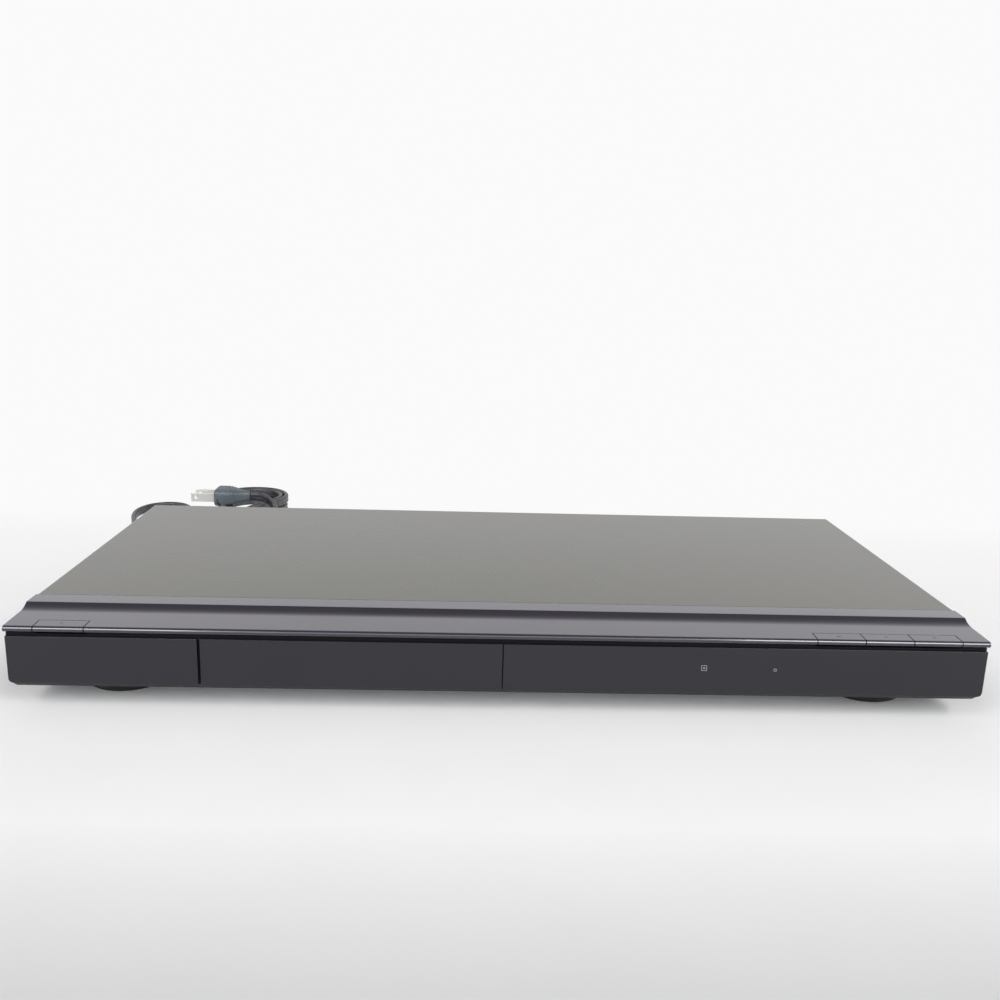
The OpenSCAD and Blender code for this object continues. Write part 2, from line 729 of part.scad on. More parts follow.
module loader_frame() {
    color(moulded_black)
        difference() {
            union() {
                // side walls with the rails under the tray and the tabs over it
                for (s = [-1, 1])
                    translate([ld_x, 0, 0])
                        mirror([s < 0 ? 1 : 0, 0, 0]) {
                            box([frame_x, frame_y0, plate_z], [frame_x + frame_t, frame_y1, frame_top]);
                            box([frame_x - 4.2, frame_y0, tray_z - run_gap - 2.2],
                                [frame_x + 0.1, frame_y1, tray_z - run_gap]);
                            for (y = [frame_y0 + 2, disc_y - 34, disc_y + 34])
                                box([frame_x - 2.8, y, tray_top + run_gap],
                                    [frame_x + 0.1, y + 8, tray_top + run_gap + 1.6]);
                            // hinge block for the pickup unit
                            box([trav_x + 1, hinge_y - 5, hinge_z - 4.4],
                                [frame_x + 0.1, hinge_y + 4.4, tray_z - 3.6]);
                            box([frame_x - 4.2, hinge_y - 5, tray_z - 4.2],
                                [frame_x + 0.1, hinge_y + 4.4, tray_z - 1]);
                            post([frame_x + frame_t + 2.2, disc_y], 3.6, frame_top - 9, frame_top);
                        }
                // ears down to the chassis
                for (p = loader_posts) {
                    post(p, 4, deck_z, plate_z + 3);
                    box([min(p[0], ld_x + sign(p[0] - ld_x) * frame_x), p[1] - 3, plate_z],
                        [max(p[0], ld_x + sign(p[0] - ld_x) * frame_x), p[1] + 3, plate_z + 3]);
                }
                // rear wall
                box([ld_x - frame_x, frame_y1 - 2, hinge_z - 2], [ld_x + frame_x, frame_y1, tray_z + 5]);
                // gear deck in front, with the guide wall of the cam slider
                box([ld_x - frame_x, frame_y0, plate_z], [ld_x + frame_x, plate_back, plate_z + plate_t]);
                box([ld_x - 60, plate_back - 1.4, deck_z + 1.2], [ld_x + 60, plate_back, plate_z + plate_t]);
                for (x = [-54, -46, 6, 13])
                    cam_hook(ld_x + x);
                // cup that holds the motor
                post([ld_x + motor_x, gear_y], motor_r + 2, plate_z, tray_z - 3.9);
                for (x = [drive_x, pulley_x])
                    post([ld_x + x, gear_y], 3, plate_z, tray_z - 6.5);
                for (x = [drive_x, pulley_x])
                    post([ld_x + x, gear_y], pin_r, plate_z, tray_z - 0.5);
            }
            post([ld_x + motor_x, gear_y], motor_r + 0.3, plate_z - 1, tray_z - 5.6);
            post([ld_x + motor_x, gear_y], 4, plate_z - 1, tray_z);
            for (p = loader_posts)
                post(p, screw_r + 0.2, deck_z - 1, plate_z + 4);
            for (s = [-1, 1])
                post([ld_x + s * (frame_x + frame_t + 2.2), disc_y], 1.2, frame_top - 12, frame_top + 1);
            bar_x(hinge_y, hinge_z, 2 + spin_gap, ld_x - trav_x - 8, ld_x - trav_x);
            bar_x(hinge_y, hinge_z, 2 + spin_gap, ld_x + trav_x, ld_x + trav_x + 8);
            // lightening holes in the gear deck
            for (x = [-56, -44])
                post([ld_x + x, gear_y], 4, plate_z - 1, plate_z + 3);
        }
}

// Hook on the frame that holds the cam slider down
module cam_hook(x) {
    box([x - 2.5, plate_back - 1.4, plate_z], [x + 2.5, plate_back, tray_z - 0.6]);
    back = cam_y + cam_t / 2 + run_gap;
    box([x - 2.5, plate_back - 1.4, tray_z - 1.9], [x + 2.5, back + 0.8, tray_z - 0.6]);
    box([x - 2.5, back, tray_z - 3.4], [x + 2.5, back + 0.8, tray_z - 0.6]);
}

// Steel bridge across the tray, with the hole for the clamper
module clamp_bridge() {
    bx = frame_x + frame_t + 2.2;
    color(zinc)
        difference() {
            union() {
                plate([ld_x - bx - 4, disc_y - 19], [ld_x + bx + 4, disc_y + 19], 3,
                    frame_top, frame_top + 1);
                for (s = [-1, 1])
                    box([ld_x - bx, disc_y + s * 18 - 0.5, frame_top],
                        [ld_x + bx, disc_y + s * 18 + 0.5, frame_top + 2.4]);
            }
            post([ld_x, disc_y], clamp_r + 0.8, frame_top - 1, frame_top + 3);
            for (s = [-1, 1])
                post([ld_x + s * bx, disc_y], screw_r + 0.2, frame_top - 1, frame_top + 3);
        }
}

module loading_motor() {
    color("#a7a9ab")
        difference() {
            union() {
                post([ld_x + motor_x, gear_y], motor_r, tray_z - 14.8, tray_z - 5.8);
                post([ld_x + motor_x, gear_y], 3, tray_z - 5.9, tray_z - 4.4);
                post([ld_x + motor_x, gear_y], 3.4, tray_z - 15.4, tray_z - 14.7);
            }
            post([ld_x + motor_x, gear_y], 1 + spin_gap, tray_z - 12, tray_z);
        }
}

module drive_belt() {
    r0 = motor_pulley_r + belt_gap;
    r1 = pulley_r + belt_gap;
    color("#151515")
        translate([ld_x + motor_x, gear_y, belt_z - belt_t / 2])
            linear_extrude(belt_t)
                difference() {
                    belt_outline(r0 + belt_t, r1 + belt_t, pulley_x - motor_x);
                    belt_outline(r0, r1, pulley_x - motor_x);
                }
}

// Grooved belt wheel on the gear axis
module belt_wheel(p, r) {
    translate([p[0], p[1], belt_z])
        rotate_extrude()
            polygon([[0, -1.2], [r + 1.4, -1.2], [r + 1.4, -1], [r, -0.75], [r, 0.75],
                [r + 1.4, 1], [r + 1.4, 1.2], [0, 1.2]]);
}

module motor_pulley() {
    color("#d9d6cc") {
        belt_wheel([ld_x + motor_x, gear_y], motor_pulley_r);
        post([ld_x + motor_x, gear_y], 1, tray_z - 11, belt_z);
    }
}

module pulley_gear() {
    p = [ld_x + pulley_x, gear_y];
    color("#e6e2d6")
        difference() {
            union() {
                belt_wheel(p, pulley_r);
                gear(p, gear_m, small_teeth, tray_z - 6.3, belt_z);
            }
            post(p, pin_r + spin_gap, tray_z - 8, tray_z + 1);
            for (a = [0:60:300])
                post(p + 7.4 * [cos(a), sin(a)], 1.8, belt_z - 2, belt_z + 2);
        }
}

module drive_gear() {
    p = [ld_x + drive_x, gear_y];
    color("#e6e2d6")
        difference() {
            union() {
                gear(p, gear_m, big_teeth, tray_z - 6, tray_z - 3.7, 180 / big_teeth + 180);
                gear(p, rack_m, rack_teeth, tray_z - 3.8, tray_z - 0.5);
            }
            post(p, pin_r + spin_gap, tray_z - 8, tray_z + 1);
            for (a = [30:60:330])
                post(p + 11.6 * [cos(a), sin(a)], 2.6, tray_z - 8, tray_z - 3);
        }
}

// ---------------------------------------------------------------- tray
module disc_tray() {
    color("#232326")
        difference() {
            union() {
                plate([ld_x - tray_w / 2, tray_y], [ld_x + tray_w / 2, tray_y + tray_l], 2,
                    tray_z, tray_top);
                translate([ld_x + rack_x, 0, tray_z - rack_h])
                    linear_extrude(rack_h + 0.2)
                        rack_outline(rack_m, gear_y - 6, tray_y + tray_l - 0.5, gear_y, 3.1);
            }
            // lightened underside rim
            post([ld_x, disc_y], recess_dia / 2, recess_z, tray_top + 1);
            post([ld_x, disc_y], small_recess_dia / 2, recess_z - 0.9, tray_top + 1);
            post([ld_x, disc_y], turntable_r + 3, tray_z - 1, tray_top + 1);
            // slot for the turntable and the pickup, open to the rear
            box([ld_x - slot_w / 2, disc_y, tray_z - 1],
                [ld_x + slot_w / 2, tray_y + tray_l + 1, tray_top + 1]);
            // finger notches at both sides of the recess
            for (s = [-1, 1])
                post([ld_x + s * (tray_w / 2 - 4), disc_y], 9, recess_z, tray_top + 1);
            // pockets under the front rim
            for (x = [-52, -18, 18, 52])
                box([ld_x + x - 6.2, tray_y + 2, tray_z - 1], [ld_x + x + 6.2, tray_y + 4.4, tray_z + 4]);
            // lowered rear arms
            for (s = [-1, 1])
                translate([ld_x, 0, 0])
                    mirror([s < 0 ? 1 : 0, 0, 0])
                        box([slot_w / 2 + 3, disc_y + recess_dia / 2 + 6, tray_top - 2.4],
                            [tray_w / 2 - 8, tray_y + tray_l + 1, tray_top + 1]);
        }
}

// ---------------------------------------------------------------- cam and pickup unit
module cam_slider() {
    z0 = cam_pin_z - cam_drop - pin_r - 1.6;
    color("#d9d6cc")
        difference() {
            box([ld_x - 58, cam_y - cam_t / 2, z0], [ld_x + 38, cam_y + cam_t / 2, tray_z - 2.3]);
            // low end, which passes under the rack of the tray
            box([ld_x + rack_x - 1.5 - cam_travel, cam_y - 3, tray_z - 3.9],
                [ld_x + 40, cam_y + 3, tray_z]);
            for (x = [-cam_pin_x, cam_pin_x])
                cam_slot(ld_x + x);
            for (x = [-53, -9, 33])
                bar_y(ld_x + x, tray_z - 9, 2.4, cam_y - 3, cam_y + 3);
        }
}

// Sloping slot that lowers its pin while the slider moves across
module cam_slot(x) {
    r = pin_r + 0.3;
    a = atan2(cam_drop, cam_travel);
    upright(cam_y - 3, 6)
        union() {
            for (i = [0, 1])
                translate([x - i * cam_travel, cam_pin_z - i * cam_drop])
                    circle(r);
            polygon([[x - r * sin(a), cam_pin_z + r * cos(a)],
                [x - cam_travel - r * sin(a), cam_pin_z - cam_drop + r * cos(a)],
                [x - cam_travel + r * sin(a), cam_pin_z - cam_drop - r * cos(a)],
                [x + r * sin(a), cam_pin_z - r * cos(a)]]);
        }
}

module traverse_chassis() {
    color("#3a3b3e")
        difference() {
            union() {
                translate([ld_x, 0, 0])
                    plate([-trav_x, trav_y0], [trav_x, hinge_y + 3], 3, trav_z, trav_z + 2);
                box([ld_x - 40, trav_y0, tray_z - 7.6], [ld_x + 40, trav_y0 + 2, trav_z + 0.1]);
                for (s = [-1, 1])
                    translate([ld_x, 0, 0])
                        mirror([s < 0 ? 1 : 0, 0, 0]) {
                            box([trav_x - 2, disc_y, tray_z - 7], [trav_x, hinge_y + 2.5, trav_z + 0.1]);
                            box([trav_x - 5, hinge_y - 3, hinge_z - 3], [trav_x, hinge_y + 3, trav_z + 0.1]);
                            bar_x(hinge_y, hinge_z, 2, trav_x - 1, trav_x + 6.5);
                            for (y = [rod_y0 + 1, rod_y1 - 4])
                                box([rod_x - 2.6, y, rod_z - 3], [rod_x + 2.6, y + 3, trav_z + 0.1]);
                        }
                for (s = [-1, 1])
                    bar_y(ld_x + s * cam_pin_x, cam_pin_z, pin_r, cam_y - cam_t / 2 - 0.2, trav_y0 + 1);
                post([ld_x + sled_axis_x, sled_axis_y], 1, tray_z - 11.4, trav_z + 0.1);
            }
            // window for the pickup
            box([ld_x - 31.2, disc_y + 13.6, trav_z - 1], [ld_x + 29.6, rod_y1 - 3.6, trav_z + 3]);
            post([ld_x, disc_y], 9, trav_z - 5, trav_z + 3);
            post([ld_x + sled_motor_x, sled_motor_y], 6.15, trav_z - 4, trav_z + 3);
            for (s = [-1, 1])
                bar_y(ld_x + s * rod_x, rod_z, rod_dia / 2 + 0.03, rod_y0, rod_y1);
            for (x = [-40, 40])
                post([ld_x + x, disc_y - 8], 4.5, trav_z - 1, trav_z + 3);
        }
}

// Flat disc motor under the turntable
module spindle_motor() {
    color("#9fa1a3")
        difference() {
            union() {
                post([ld_x, disc_y], 12, tray_z - 8.2, trav_z - 0.05);
                post([ld_x, disc_y], 8.6, trav_z - 0.1, tray_z - 2.4);
            }
            post([ld_x, disc_y], 1 + spin_gap, tray_z - 7.4, tray_z);
        }
}

module turntable() {
    color("#2a2a2c") {
        difference() {
            translate([ld_x, disc_y, 0])
                rotate_extrude()
                    polygon([[0, tray_z - 1.9], [6, tray_z - 1.9], [6, hub_z], [turntable_r, hub_z],
                        [turntable_r, disc_z - 0.3], [7.4, disc_z - 0.3], [7.4, disc_z + 1],
                        [5.6, disc_z + 2.5], [0, disc_z + 2.5]]);
            post([ld_x, disc_y], 1, tray_z - 3, hub_z);
        }
        post([ld_x, disc_y], 1, tray_z - 7, hub_z + 0.5);
    }
}
// Rubber ring that grips the disc
module turntable_pad() {
    color("#111111")
        difference() {
            post([ld_x, disc_y], turntable_r - 0.4, disc_z - 0.3, disc_z);
            post([ld_x, disc_y], turntable_r - 4, disc_z - 1, disc_z + 1);
        }
}

module guide_rods() {
    color("#cfd1d3")
        for (s = [-1, 1])
            bar_y(ld_x + s * rod_x, rod_z, rod_dia / 2, rod_y0 + 0.5, rod_y1 - 0.5);
}

module pickup() {
    x = ld_x;
    y0 = sled_y - 10.2;
    color("#4b4d50")
        difference() {
            union() {
                box([x - 18, y0, tray_z - 9], [x + 18, y0 + 29, tray_z - 3.2]);
                box([x - 13, y0 + 2, tray_z - 4], [x + 13, y0 + 24, tray_z - 1.6]);
                for (s = [-1, 1], y = [y0 + 0.5, y0 + 22])
                    box([x + s * 23.2 - 5.3, y, rod_z - 3], [x + s * 23.2 + 5.3, y + 6, rod_z + 3]);
                translate([x + sled_axis_x + sled_r, 0, rod_z - 1.4])
                    linear_extrude(2.2)
                        rack_outline(sled_m1, sled_axis_y - sled_travel - 2.4, sled_axis_y + 2.4,
                            sled_axis_y, 1.6);
            }
            for (s = [-1, 1])
                bar_y(x + s * rod_x, rod_z, rod_dia / 2 + spin_gap, y0 - 5, y0 + 40);
            box([x - 8, y0 + 15, tray_z - 10], [x + 8, y0 + 26, tray_z - 6]);
        }
    color("#1b2a4a")
        difference() {
            post([x, sled_y], 4, tray_z - 2, tray_z + 0.8);
            translate([x, sled_y, tray_z + 6.4])
                sphere(6);
        }
}

module sled_gear() {
    p = [ld_x + sled_axis_x, sled_axis_y];
    color("#e6e2d6")
        difference() {
            union() {
                gear(p, sled_m2, 44, tray_z - 10.9, tray_z - 9.6, sled_mesh_a);
                post(p, 2.6, tray_z - 10, tray_z - 7);
                gear(p, sled_m1, 16, tray_z - 7.2, tray_z - 4.6);
            }
            post(p, 1 + spin_gap, tray_z - 12, tray_z);
        }
}

module sled_motor() {
    color("#a7a9ab")
        difference() {
            post([ld_x + sled_motor_x, sled_motor_y], 6, tray_z - 9, tray_z - 1.2);
            post([ld_x + sled_motor_x, sled_motor_y], 0.75 + spin_gap, tray_z - 12, tray_z - 3);
        }
}
module sled_pinion() {
    p = [ld_x + sled_motor_x, sled_motor_y];
    color("#c9a24a") {
        gear(p, sled_m2, 12, tray_z - 11, tray_z - 9.5, sled_mesh_a + 180 + 180 / 12);
        post(p, 0.75, tray_z - 9.6, tray_z - 3.5);
    }
}

// Magnetic puck that hangs in the bridge over the disc
module clamper() {
    z0 = disc_z + 2.1;
    z1 = frame_top + 1.3;
    color("#e8e6df")
        translate([ld_x, disc_y, 0])
            rotate_extrude()
                polygon([[0, z0 + 1.6], [8.4, z0 + 1.6], [8.4, z0], [clamp_r, z0], [clamp_r, z1],
                    [clamp_r + 3.5, z1], [clamp_r + 3.5, z1 + 1.1], [clamp_r - 2, z1 + 1.1],
                    [clamp_r - 2, z0 + 3.6], [0, z0 + 3.6]]);
}

// ---------------------------------------------------------------- boards and sockets
module pcb(x, y, w, l, holes) {
    difference() {
        box([x, y, board_z], [x + w, y + l, board_z + board_t]);
        for (p = holes)
            post(p, 1.7, board_z - 1, board_z + 3);
    }
}
module power_board() {
    color("#b08d57")
        pcb(power_bx, power_by, power_w, power_l, power_posts);
    color("#efe9da")
        box([power_bx + 12, power_by + power_l - 12, board_z + board_t],
            [power_bx + 24, power_by + power_l - 3, board_z + board_t + 7]);
    color("#b6531f")
        for (i = [0:2])
            post([power_bx + 36 + 5.5 * i, power_by + power_l - 9], 2.2, board_z + board_t,
                board_z + board_t + 4.5);
}
module transformer() {
    x = power_bx + 16;
    y = power_by + 42;
    z = board_z + board_t;
    color("#3c3a38")
        difference() {
            box([x, y, z + 2], [x + 26, y + 24, z + 19]);
            box([x + 4.5, y - 1, z + 6], [x + 21.5, y + 25, z + 15]);
        }
    color("#d8b13c")
        box([x + 4.6, y - 2.4, z], [x + 21.4, y + 26.4, z + 14.9]);
}
module capacitors() {
    z = board_z + board_t;
    color("#26303f")
        for (c = [[14, 82, 7, 20], [30, 84, 5.2, 12], [12, 26, 4, 12], [24, 26, 4, 12], [36, 24, 5, 14]])
            capacitor([power_bx + c[0], power_by + c[1] - 6], c[2], z, c[3]);
    color("#26303f")
        for (c = [[30, 30], [64, 46], [118, 22], [150, 44]])
            capacitor([main_bx + c[0], main_by + c[1]], 3.2, z, 8);
}
// Can with the rolled groove near its foot and the dished top
module capacitor(p, r, z, h) {
    translate([p[0], p[1], z])
        rotate_extrude()
            polygon([[0, 0], [r, 0], [r, 1.4], [r - 0.4, 1.8], [r, 2.2], [r, h - 0.5], [r - 0.5, h],
                [r - 1, h], [r - 1.1, h - 0.3], [0, h - 0.3]]);
}
// Finned aluminium block beside the switching transistor
module heat_sink() {
    x = power_bx + 46;
    y = power_by + 40;
    z = board_z + board_t;
    color("#c4c6c8")
        union() {
            box([x, y, z], [x + 2, y + 26, z + 18]);
            for (i = [0:6])
                box([x - 3, y + 4 * i, z], [x + 5, y + 4 * i + 1.2, z + 18]);
        }
}
module main_board() {
    color("#2f6a3d")
        pcb(main_bx, main_by, main_w, main_l, main_posts);
    color("#efe9da") {
        translate([main_bx, main_by, board_z + board_t])
            box([8, 14, 0], [12, 34, 5]);
        translate([main_bx + main_w / 2 - 29, main_by + 3, board_z + board_t])
            box([0, 0, 0], [24, 4, 5]);
        translate([main_bx + 18, main_by + 3, board_z + board_t])
            box([0, 0, 0], [18, 6, 6]);
    }
}
module board_chips() {
    z = board_z + board_t;
    color("#1c1c1e")
        for (c = [[92, 30, 26, 26, 2.2], [120, 44, 18, 10, 1.6], [52, 28, 14, 10, 1.8],
            [140, 20, 12, 12, 1.6], [44, 52, 10, 6, 1.4]])
            translate([main_bx + c[0], main_by + c[1], z])
                cube([c[2], c[3], c[4]]);
}
module hdmi_socket() {
    x = hdmi_x;
    z = socket_z - 6;
    color("#cfd2d4")
        difference() {
            box([x - 7.4, panel_y - 12, z], [x + 7.4, panel_y + 0.8, z + 5.6]);
            box([x - 6.8, panel_y - 8, z + 0.6], [x + 6.8, panel_y + 2, z + 5]);
        }
    color("#1c1c1e")
        box([x - 5.6, panel_y - 8.5, z + 2.2], [x + 5.6, panel_y + 0.2, z + 3.4]);
}
// Phono sockets in one block: round shells with an insulated bore
module phono_block(centres, tone) {
    z = socket_z;
    color("#1c1c1e")
        difference() {
            box([min(centres) - 6.6, panel_y - sheet_t - 11, board_z + board_t],
                [max(centres) + 6.6, panel_y - sheet_t - 0.1, z + 6.4]);
            for (x = centres)
                bar_y(x, z, 1.7, panel_y - 16, panel_y + 3);
        }
    for (i = [0:len(centres) - 1])
        color(tone[i])
            difference() {
                bar_y(centres[i], z, phono_dia / 2, panel_y - sheet_t - 0.3, back_y + jack_out);
                bar_y(centres[i], z, 1.7, panel_y - 16, back_y + jack_out + 1);
                bar_y(centres[i], z, phono_dia / 2 - 0.9, back_y + jack_out - 2.5, back_y + jack_out + 1);
            }
}
module component_sockets() {
    phono_block([for (i = [0:2]) component_x + (i - 1) * phono_pitch], ["#2a7f3c", "#2747a8", "#b3262a"]);
}
module line_sockets() {
    phono_block([for (i = [0:2]) line_x + (i - 1) * phono_pitch], ["#e7e5df", "#b3262a", "#d9b62c"]);
}
module digital_socket() {
    phono_block([digital_x - phono_pitch / 2], ["#d0702a"]);
}

// Flat cables: front board to main board, and main board across the floor to the pickup unit
module flat_cables() {
    t = 0.3;
    x0 = main_bx + main_w / 2 - 28;
    x1 = x0 + 22;
    z = face_bot + 11;
    y = main_by + 15;
    plug_top = board_z + board_t + 5;
    color("#e9e9e6") {
        box([x0, front_y + 9.7, z - 4], [x1, front_y + 9.7 + t, z + t]);
        box([x0, front_y + 9.7, z], [x1, main_by + 5 + t, z + t]);
        box([x0, main_by + 5, plug_top + 0.02], [x1, main_by + 5 + t, z + t]);
        box([ld_x + 8, y, deck_z + 2.2], [main_bx - 2, y + 18, deck_z + 2.2 + t]);
        box([main_bx - 2 - t, y, deck_z + 2.2], [main_bx - 2, y + 18, plug_top - 1 + t]);
        box([main_bx - 2 - t, y, plug_top - 1], [main_bx + 7.98, y + 18, plug_top - 1 + t]);
    }
}
// Wires from the power board across the back to the main board, in three runs side by side
module wire_harness() {
    y = panel_y - 16;
    z = deck_z + 1.4;
    color("#b3262a")
        for (i = [0:2])
            union() {
                bar_x(y + 1.5 * i, z, 0.6, power_bx + power_w + 4, main_bx - 4);
                post([power_bx + power_w + 4, y + 1.5 * i], 0.6, z, board_z + board_t + 1);
                post([main_bx - 4, y + 1.5 * i], 0.6, z, board_z + board_t + 1);
                bar_x(y + 1.5 * i, board_z + board_t + 1, 0.6,
                    power_bx + power_w - 3, power_bx + power_w + 4);
                bar_x(y + 1.5 * i, board_z + board_t + 1, 0.6, main_bx - 4, main_bx + 3);
            }
    // the two conductors of the lead, from the bushing to the connector of the power board
    color("#cfd0d2")
        for (s = [-1, 1])
            union() {
                bar_y(exit_x + s * 1.4, exit_z, 0.7, panel_y - 7.5 + s * 1.2, panel_y - 3.4);
                bar_x(panel_y - 7.5 + s * 1.2, exit_z, 0.7, exit_x + s * 1.4 - 0.7, power_bx + 11.9);
            }
}

// ---------------------------------------------------------------- screws
module case_screws() {
    color("#3b3b3d") {
        for (s = [-1, 1], y = side_screw_y)
            translate([s * half_w, y, foot_h + 9])
                rotate([0, s * 90, 0])
                    screw([0, 0], 0, 4, 1.15);
        for (x = cover_screw_x)
            translate([x, back_y, roof_z - 4])
                rotate([-90, 0, 0])
                    screw([0, 0], 0, 5, 1.15);
        for (s = [-1, 1], p = foot_spots)
            let (q = [s * p[0] * half_w / 215, p[1]])
                union() {
                    post(q, 1.15, foot_h - 3.5, deck_z + 2);
                    post(q, 2.9, foot_h - 5, foot_h - 3.4);
                }
    }
}
module loader_screws() {
    bx = frame_x + frame_t + 2.2;
    color("#c6b36a") {
        for (p = loader_posts)
            screw(p, plate_z + 3, plate_z + 3 - foot_h, 1.15);
        for (s = [-1, 1])
            screw([ld_x + s * bx, disc_y], frame_top + 1, 7, 1.15);
    }
}
module board_screws() {
    color("#c6b36a") {
        for (p = concat(power_posts, main_posts))
            screw(p, board_z + board_t, board_t + 5, 1.15);
        for (p = rear_posts)
            screw(p, deck_z + sheet_t, 2.4, 1.15);
        for (x = concat([for (s = [-1, 1]) power_x + s * 8], [stop_x + 6, stop_x - 38]))
            translate([x, front_y + 15, key_z])
                rotate([180, 0, 0])
                    screw([0, 0], 0, 5, 0.95);
        for (p = front_board_posts)
            translate([p[0], front_y + 9.6, p[1]])
                rotate([-90, 0, 0])
                    screw([0, 0], 0, 4, 0.85);
    }
}

// ---------------------------------------------------------------- mains lead
// Bushing that locks in the rear panel, with the tapered grip over the lead
module cord_bushing() {
    color("#1c1c1e")
        difference() {
            union() {
                box([exit_x - 5.4, panel_y - sheet_t - fit, exit_z - 4.4],
                    [exit_x + 5.4, panel_y + 0.4, exit_z + 4.4]);
                box([exit_x - 7, panel_y + 0.1, exit_z - 6], [exit_x + 7, panel_y + 2.2, exit_z + 6]);
                box([exit_x - 7, panel_y - sheet_t - 2.4, exit_z - 6],
                    [exit_x + 7, panel_y - sheet_t - 0.1, exit_z + 6]);
                grip();
            }
            for (i = [0:3], s = [-1, 1])
                translate([exit_x + s * 5.2, panel_y + 6 + 3.6 * i, exit_z])
                    cube([3, 1.2, 14], center = true);
        }
}
// Grip: wide at the panel and narrowing to just over the lead
module grip() {
    y0 = panel_y + 2;
    y1 = back_y + grip_l;
    hull() {
        box([exit_x - 5, y0, exit_z - 5.6], [exit_x + 5, y0 + 0.5, exit_z + 5.6]);
        box([exit_x - 2.6, y1 - 0.5, exit_z - 4.2], [exit_x + 2.6, y1, exit_z + 4.2]);
    }
}

function unit(v) = v / norm(v);
function flat(v) = unit([v[0], v[1], 0]);
// Cross-section of the flat lead: w high, t thick, with n corners
function ring(p, dir, w, t, n) = let (side = [-flat(dir)[1], flat(dir)[0], 0])
    [for (i = [0:n - 1]) let (a = 360 * (i + 0.5) / n, c = 1 / cos(180 / n))
        p + side * (t / 2 * c * cos(a)) + [0, 0, w / 2 * min(1, max(-1, c * sin(a)))]];
function slopes(p) = [for (i = [0:len(p) - 1]) p[min(i + 1, len(p) - 1)] - p[max(i - 1, 0)]];
// One closed tube through rings at the points p
module tube(p, d, w, t, n) {
    m = len(p);
    rings = [for (i = [0:m - 1]) ring(p[i], d[i], w, t, n)];
    points = concat([for (r = rings) each r], [p[0], p[m - 1]]);
    corners = [for (i = [0:m - 2], k = [0:n - 1]) [i * n + k, i * n + (k + 1) % n]];
    faces = concat(
        [for (c = corners) [c[1], c[0], c[1] + n]],
        [for (c = corners) [c[0], c[0] + n, c[1] + n]],
        [for (k = [0:n - 1]) [m * n, k, (k + 1) % n]],
        [for (k = [0:n - 1]) [m * n + 1, (m - 1) * n + (k + 1) % n, (m - 1) * n + k]]);
    polyhedron(points = points, faces = faces);
}

// Smooth curve through the route's points
function curve(a, b, c, d, t) = 0.5 * (2 * b + (c - a) * t + (2 * a - 5 * b + 4 * c - d) * t * t
    + (3 * b - a - 3 * c + d) * t * t * t);
function between(p, i, t) = curve(p[max(i - 1, 0)], p[i], p[i + 1], p[min(i + 2, len(p) - 1)], t);
function smooth(p, k) = concat([for (i = [0:len(p) - 2], j = [0:k - 1]) between(p, i, j / k)],
    [p[len(p) - 1]]);

module power_cord() {
    pts = [for (p = smooth(cord_route, 2)) [p[0], p[1], max(p[2], lay_z)]];
    d = slopes(pts);
    ends = [for (i = [0:len(pts) - 1]) i == 0 ? [0, 1, 0] : i == len(pts) - 1 ? [0, -1, 0] : d[i]];
    color("#232325")
        tube(pts, ends, cord_w, cord_t, 8);
}

// Folded lead. One turn is a near fold, a run back, a far fold and a run forward, 24 rings long.
// The turns go steadily inwards on the floor, climb onto the second layer along a run, and go
// steadily outwards. The runs are drawn in at the waist. u counts turns from the near left.
hank_steps = 24;
hank_turns = 4.25;
turn_at = 1.94;
climb = 0.055;
hank_mid = (hank_y0 + hank_y1) / 2;
hank_run = hank_y1 - hank_y0;
function inset(u) = cord_pitch * (u < turn_at ? u : 2 * turn_at - u);
function ease(t) = t * t * (3 - 2 * t);
function layer(u) = ease(max(0, min(1, (u - turn_at + climb) / (2 * climb))));
// Half the distance between the two runs at depth y
function drawn(u, y) = let (k = (1 + cos(360 * (y - hank_mid) / hank_run)) / 2)
    hank_r * (1 - k) + waist_r * k - inset(u);
function hank_point(u) = let (f = u - floor(u), r = hank_r - inset(u), z = lay_z + lift_z * layer(u))
    f < 0.25 ? [hank_x + r * cos(180 + 720 * f), hank_y0 + r * sin(180 + 720 * f), z]
    : f < 0.5 ? let (y = hank_y0 + hank_run * (f - 0.25) * 4) [hank_x + drawn(u, y), y, z]
    : f < 0.75 ? [hank_x + r * cos(720 * (f - 0.5)), hank_y1 + r * sin(720 * (f - 0.5)), z]
    : let (y = hank_y1 - hank_run * (f - 0.75) * 4) [hank_x - drawn(u, y), y, z];

// Last stretch, from the near right of the top layer over to the back of the plug
lead_x = hank_x + hank_r - inset(hank_turns);
plug_route = [[lead_x + 0.2, hank_y0 + 8, 10.6], [lead_x + 0.8, hank_y0 + 18, 11.8],
    [lead_x + 1, hank_y0 + 29, 13.8], [lead_x - 0.6, hank_y0 + 40, 16.2],
    [lead_x - 5, hank_y0 + 50, 18.3], [lead_x - 12, plug_y - 2.6, 19.8],
    [plug_x + 5, plug_y, plug_z], [plug_x, plug_y, plug_z]];
hank_line = concat([for (i = [0:hank_steps * hank_turns - 1]) hank_point(i / hank_steps)],
    [hank_point(hank_turns)], smooth(plug_route, 2));

// Room between a point of the lead and a stretch a-b of it, past width and thickness
function room(p, a, b) = let (ab = [b[0] - a[0], b[1] - a[1]], ap = [p[0] - a[0], p[1] - a[1]],
    q = a + (b - a) * max(0, min(1, (ap * ab) / (ab * ab))))
    max(norm([p[0] - q[0], p[1] - q[1]]) - cord_t, abs(p[2] - q[2]) - cord_w);

module cord_hank() {
    p = hank_line;
    d = slopes(p);
    last = len(p) - 1;
    dirs = [for (i = [0:last]) i == 0 ? [0, -1, 0] : i == last ? [-1, 0, 0] : d[i]];
    echo(least_gap = min([for (i = [0:last]) for (j = [i + 7:1:last - 1]) room(p[i], p[j], p[j + 1])]));
    color("#232325")
        tube(p, dirs, cord_w, cord_t, 6);
}

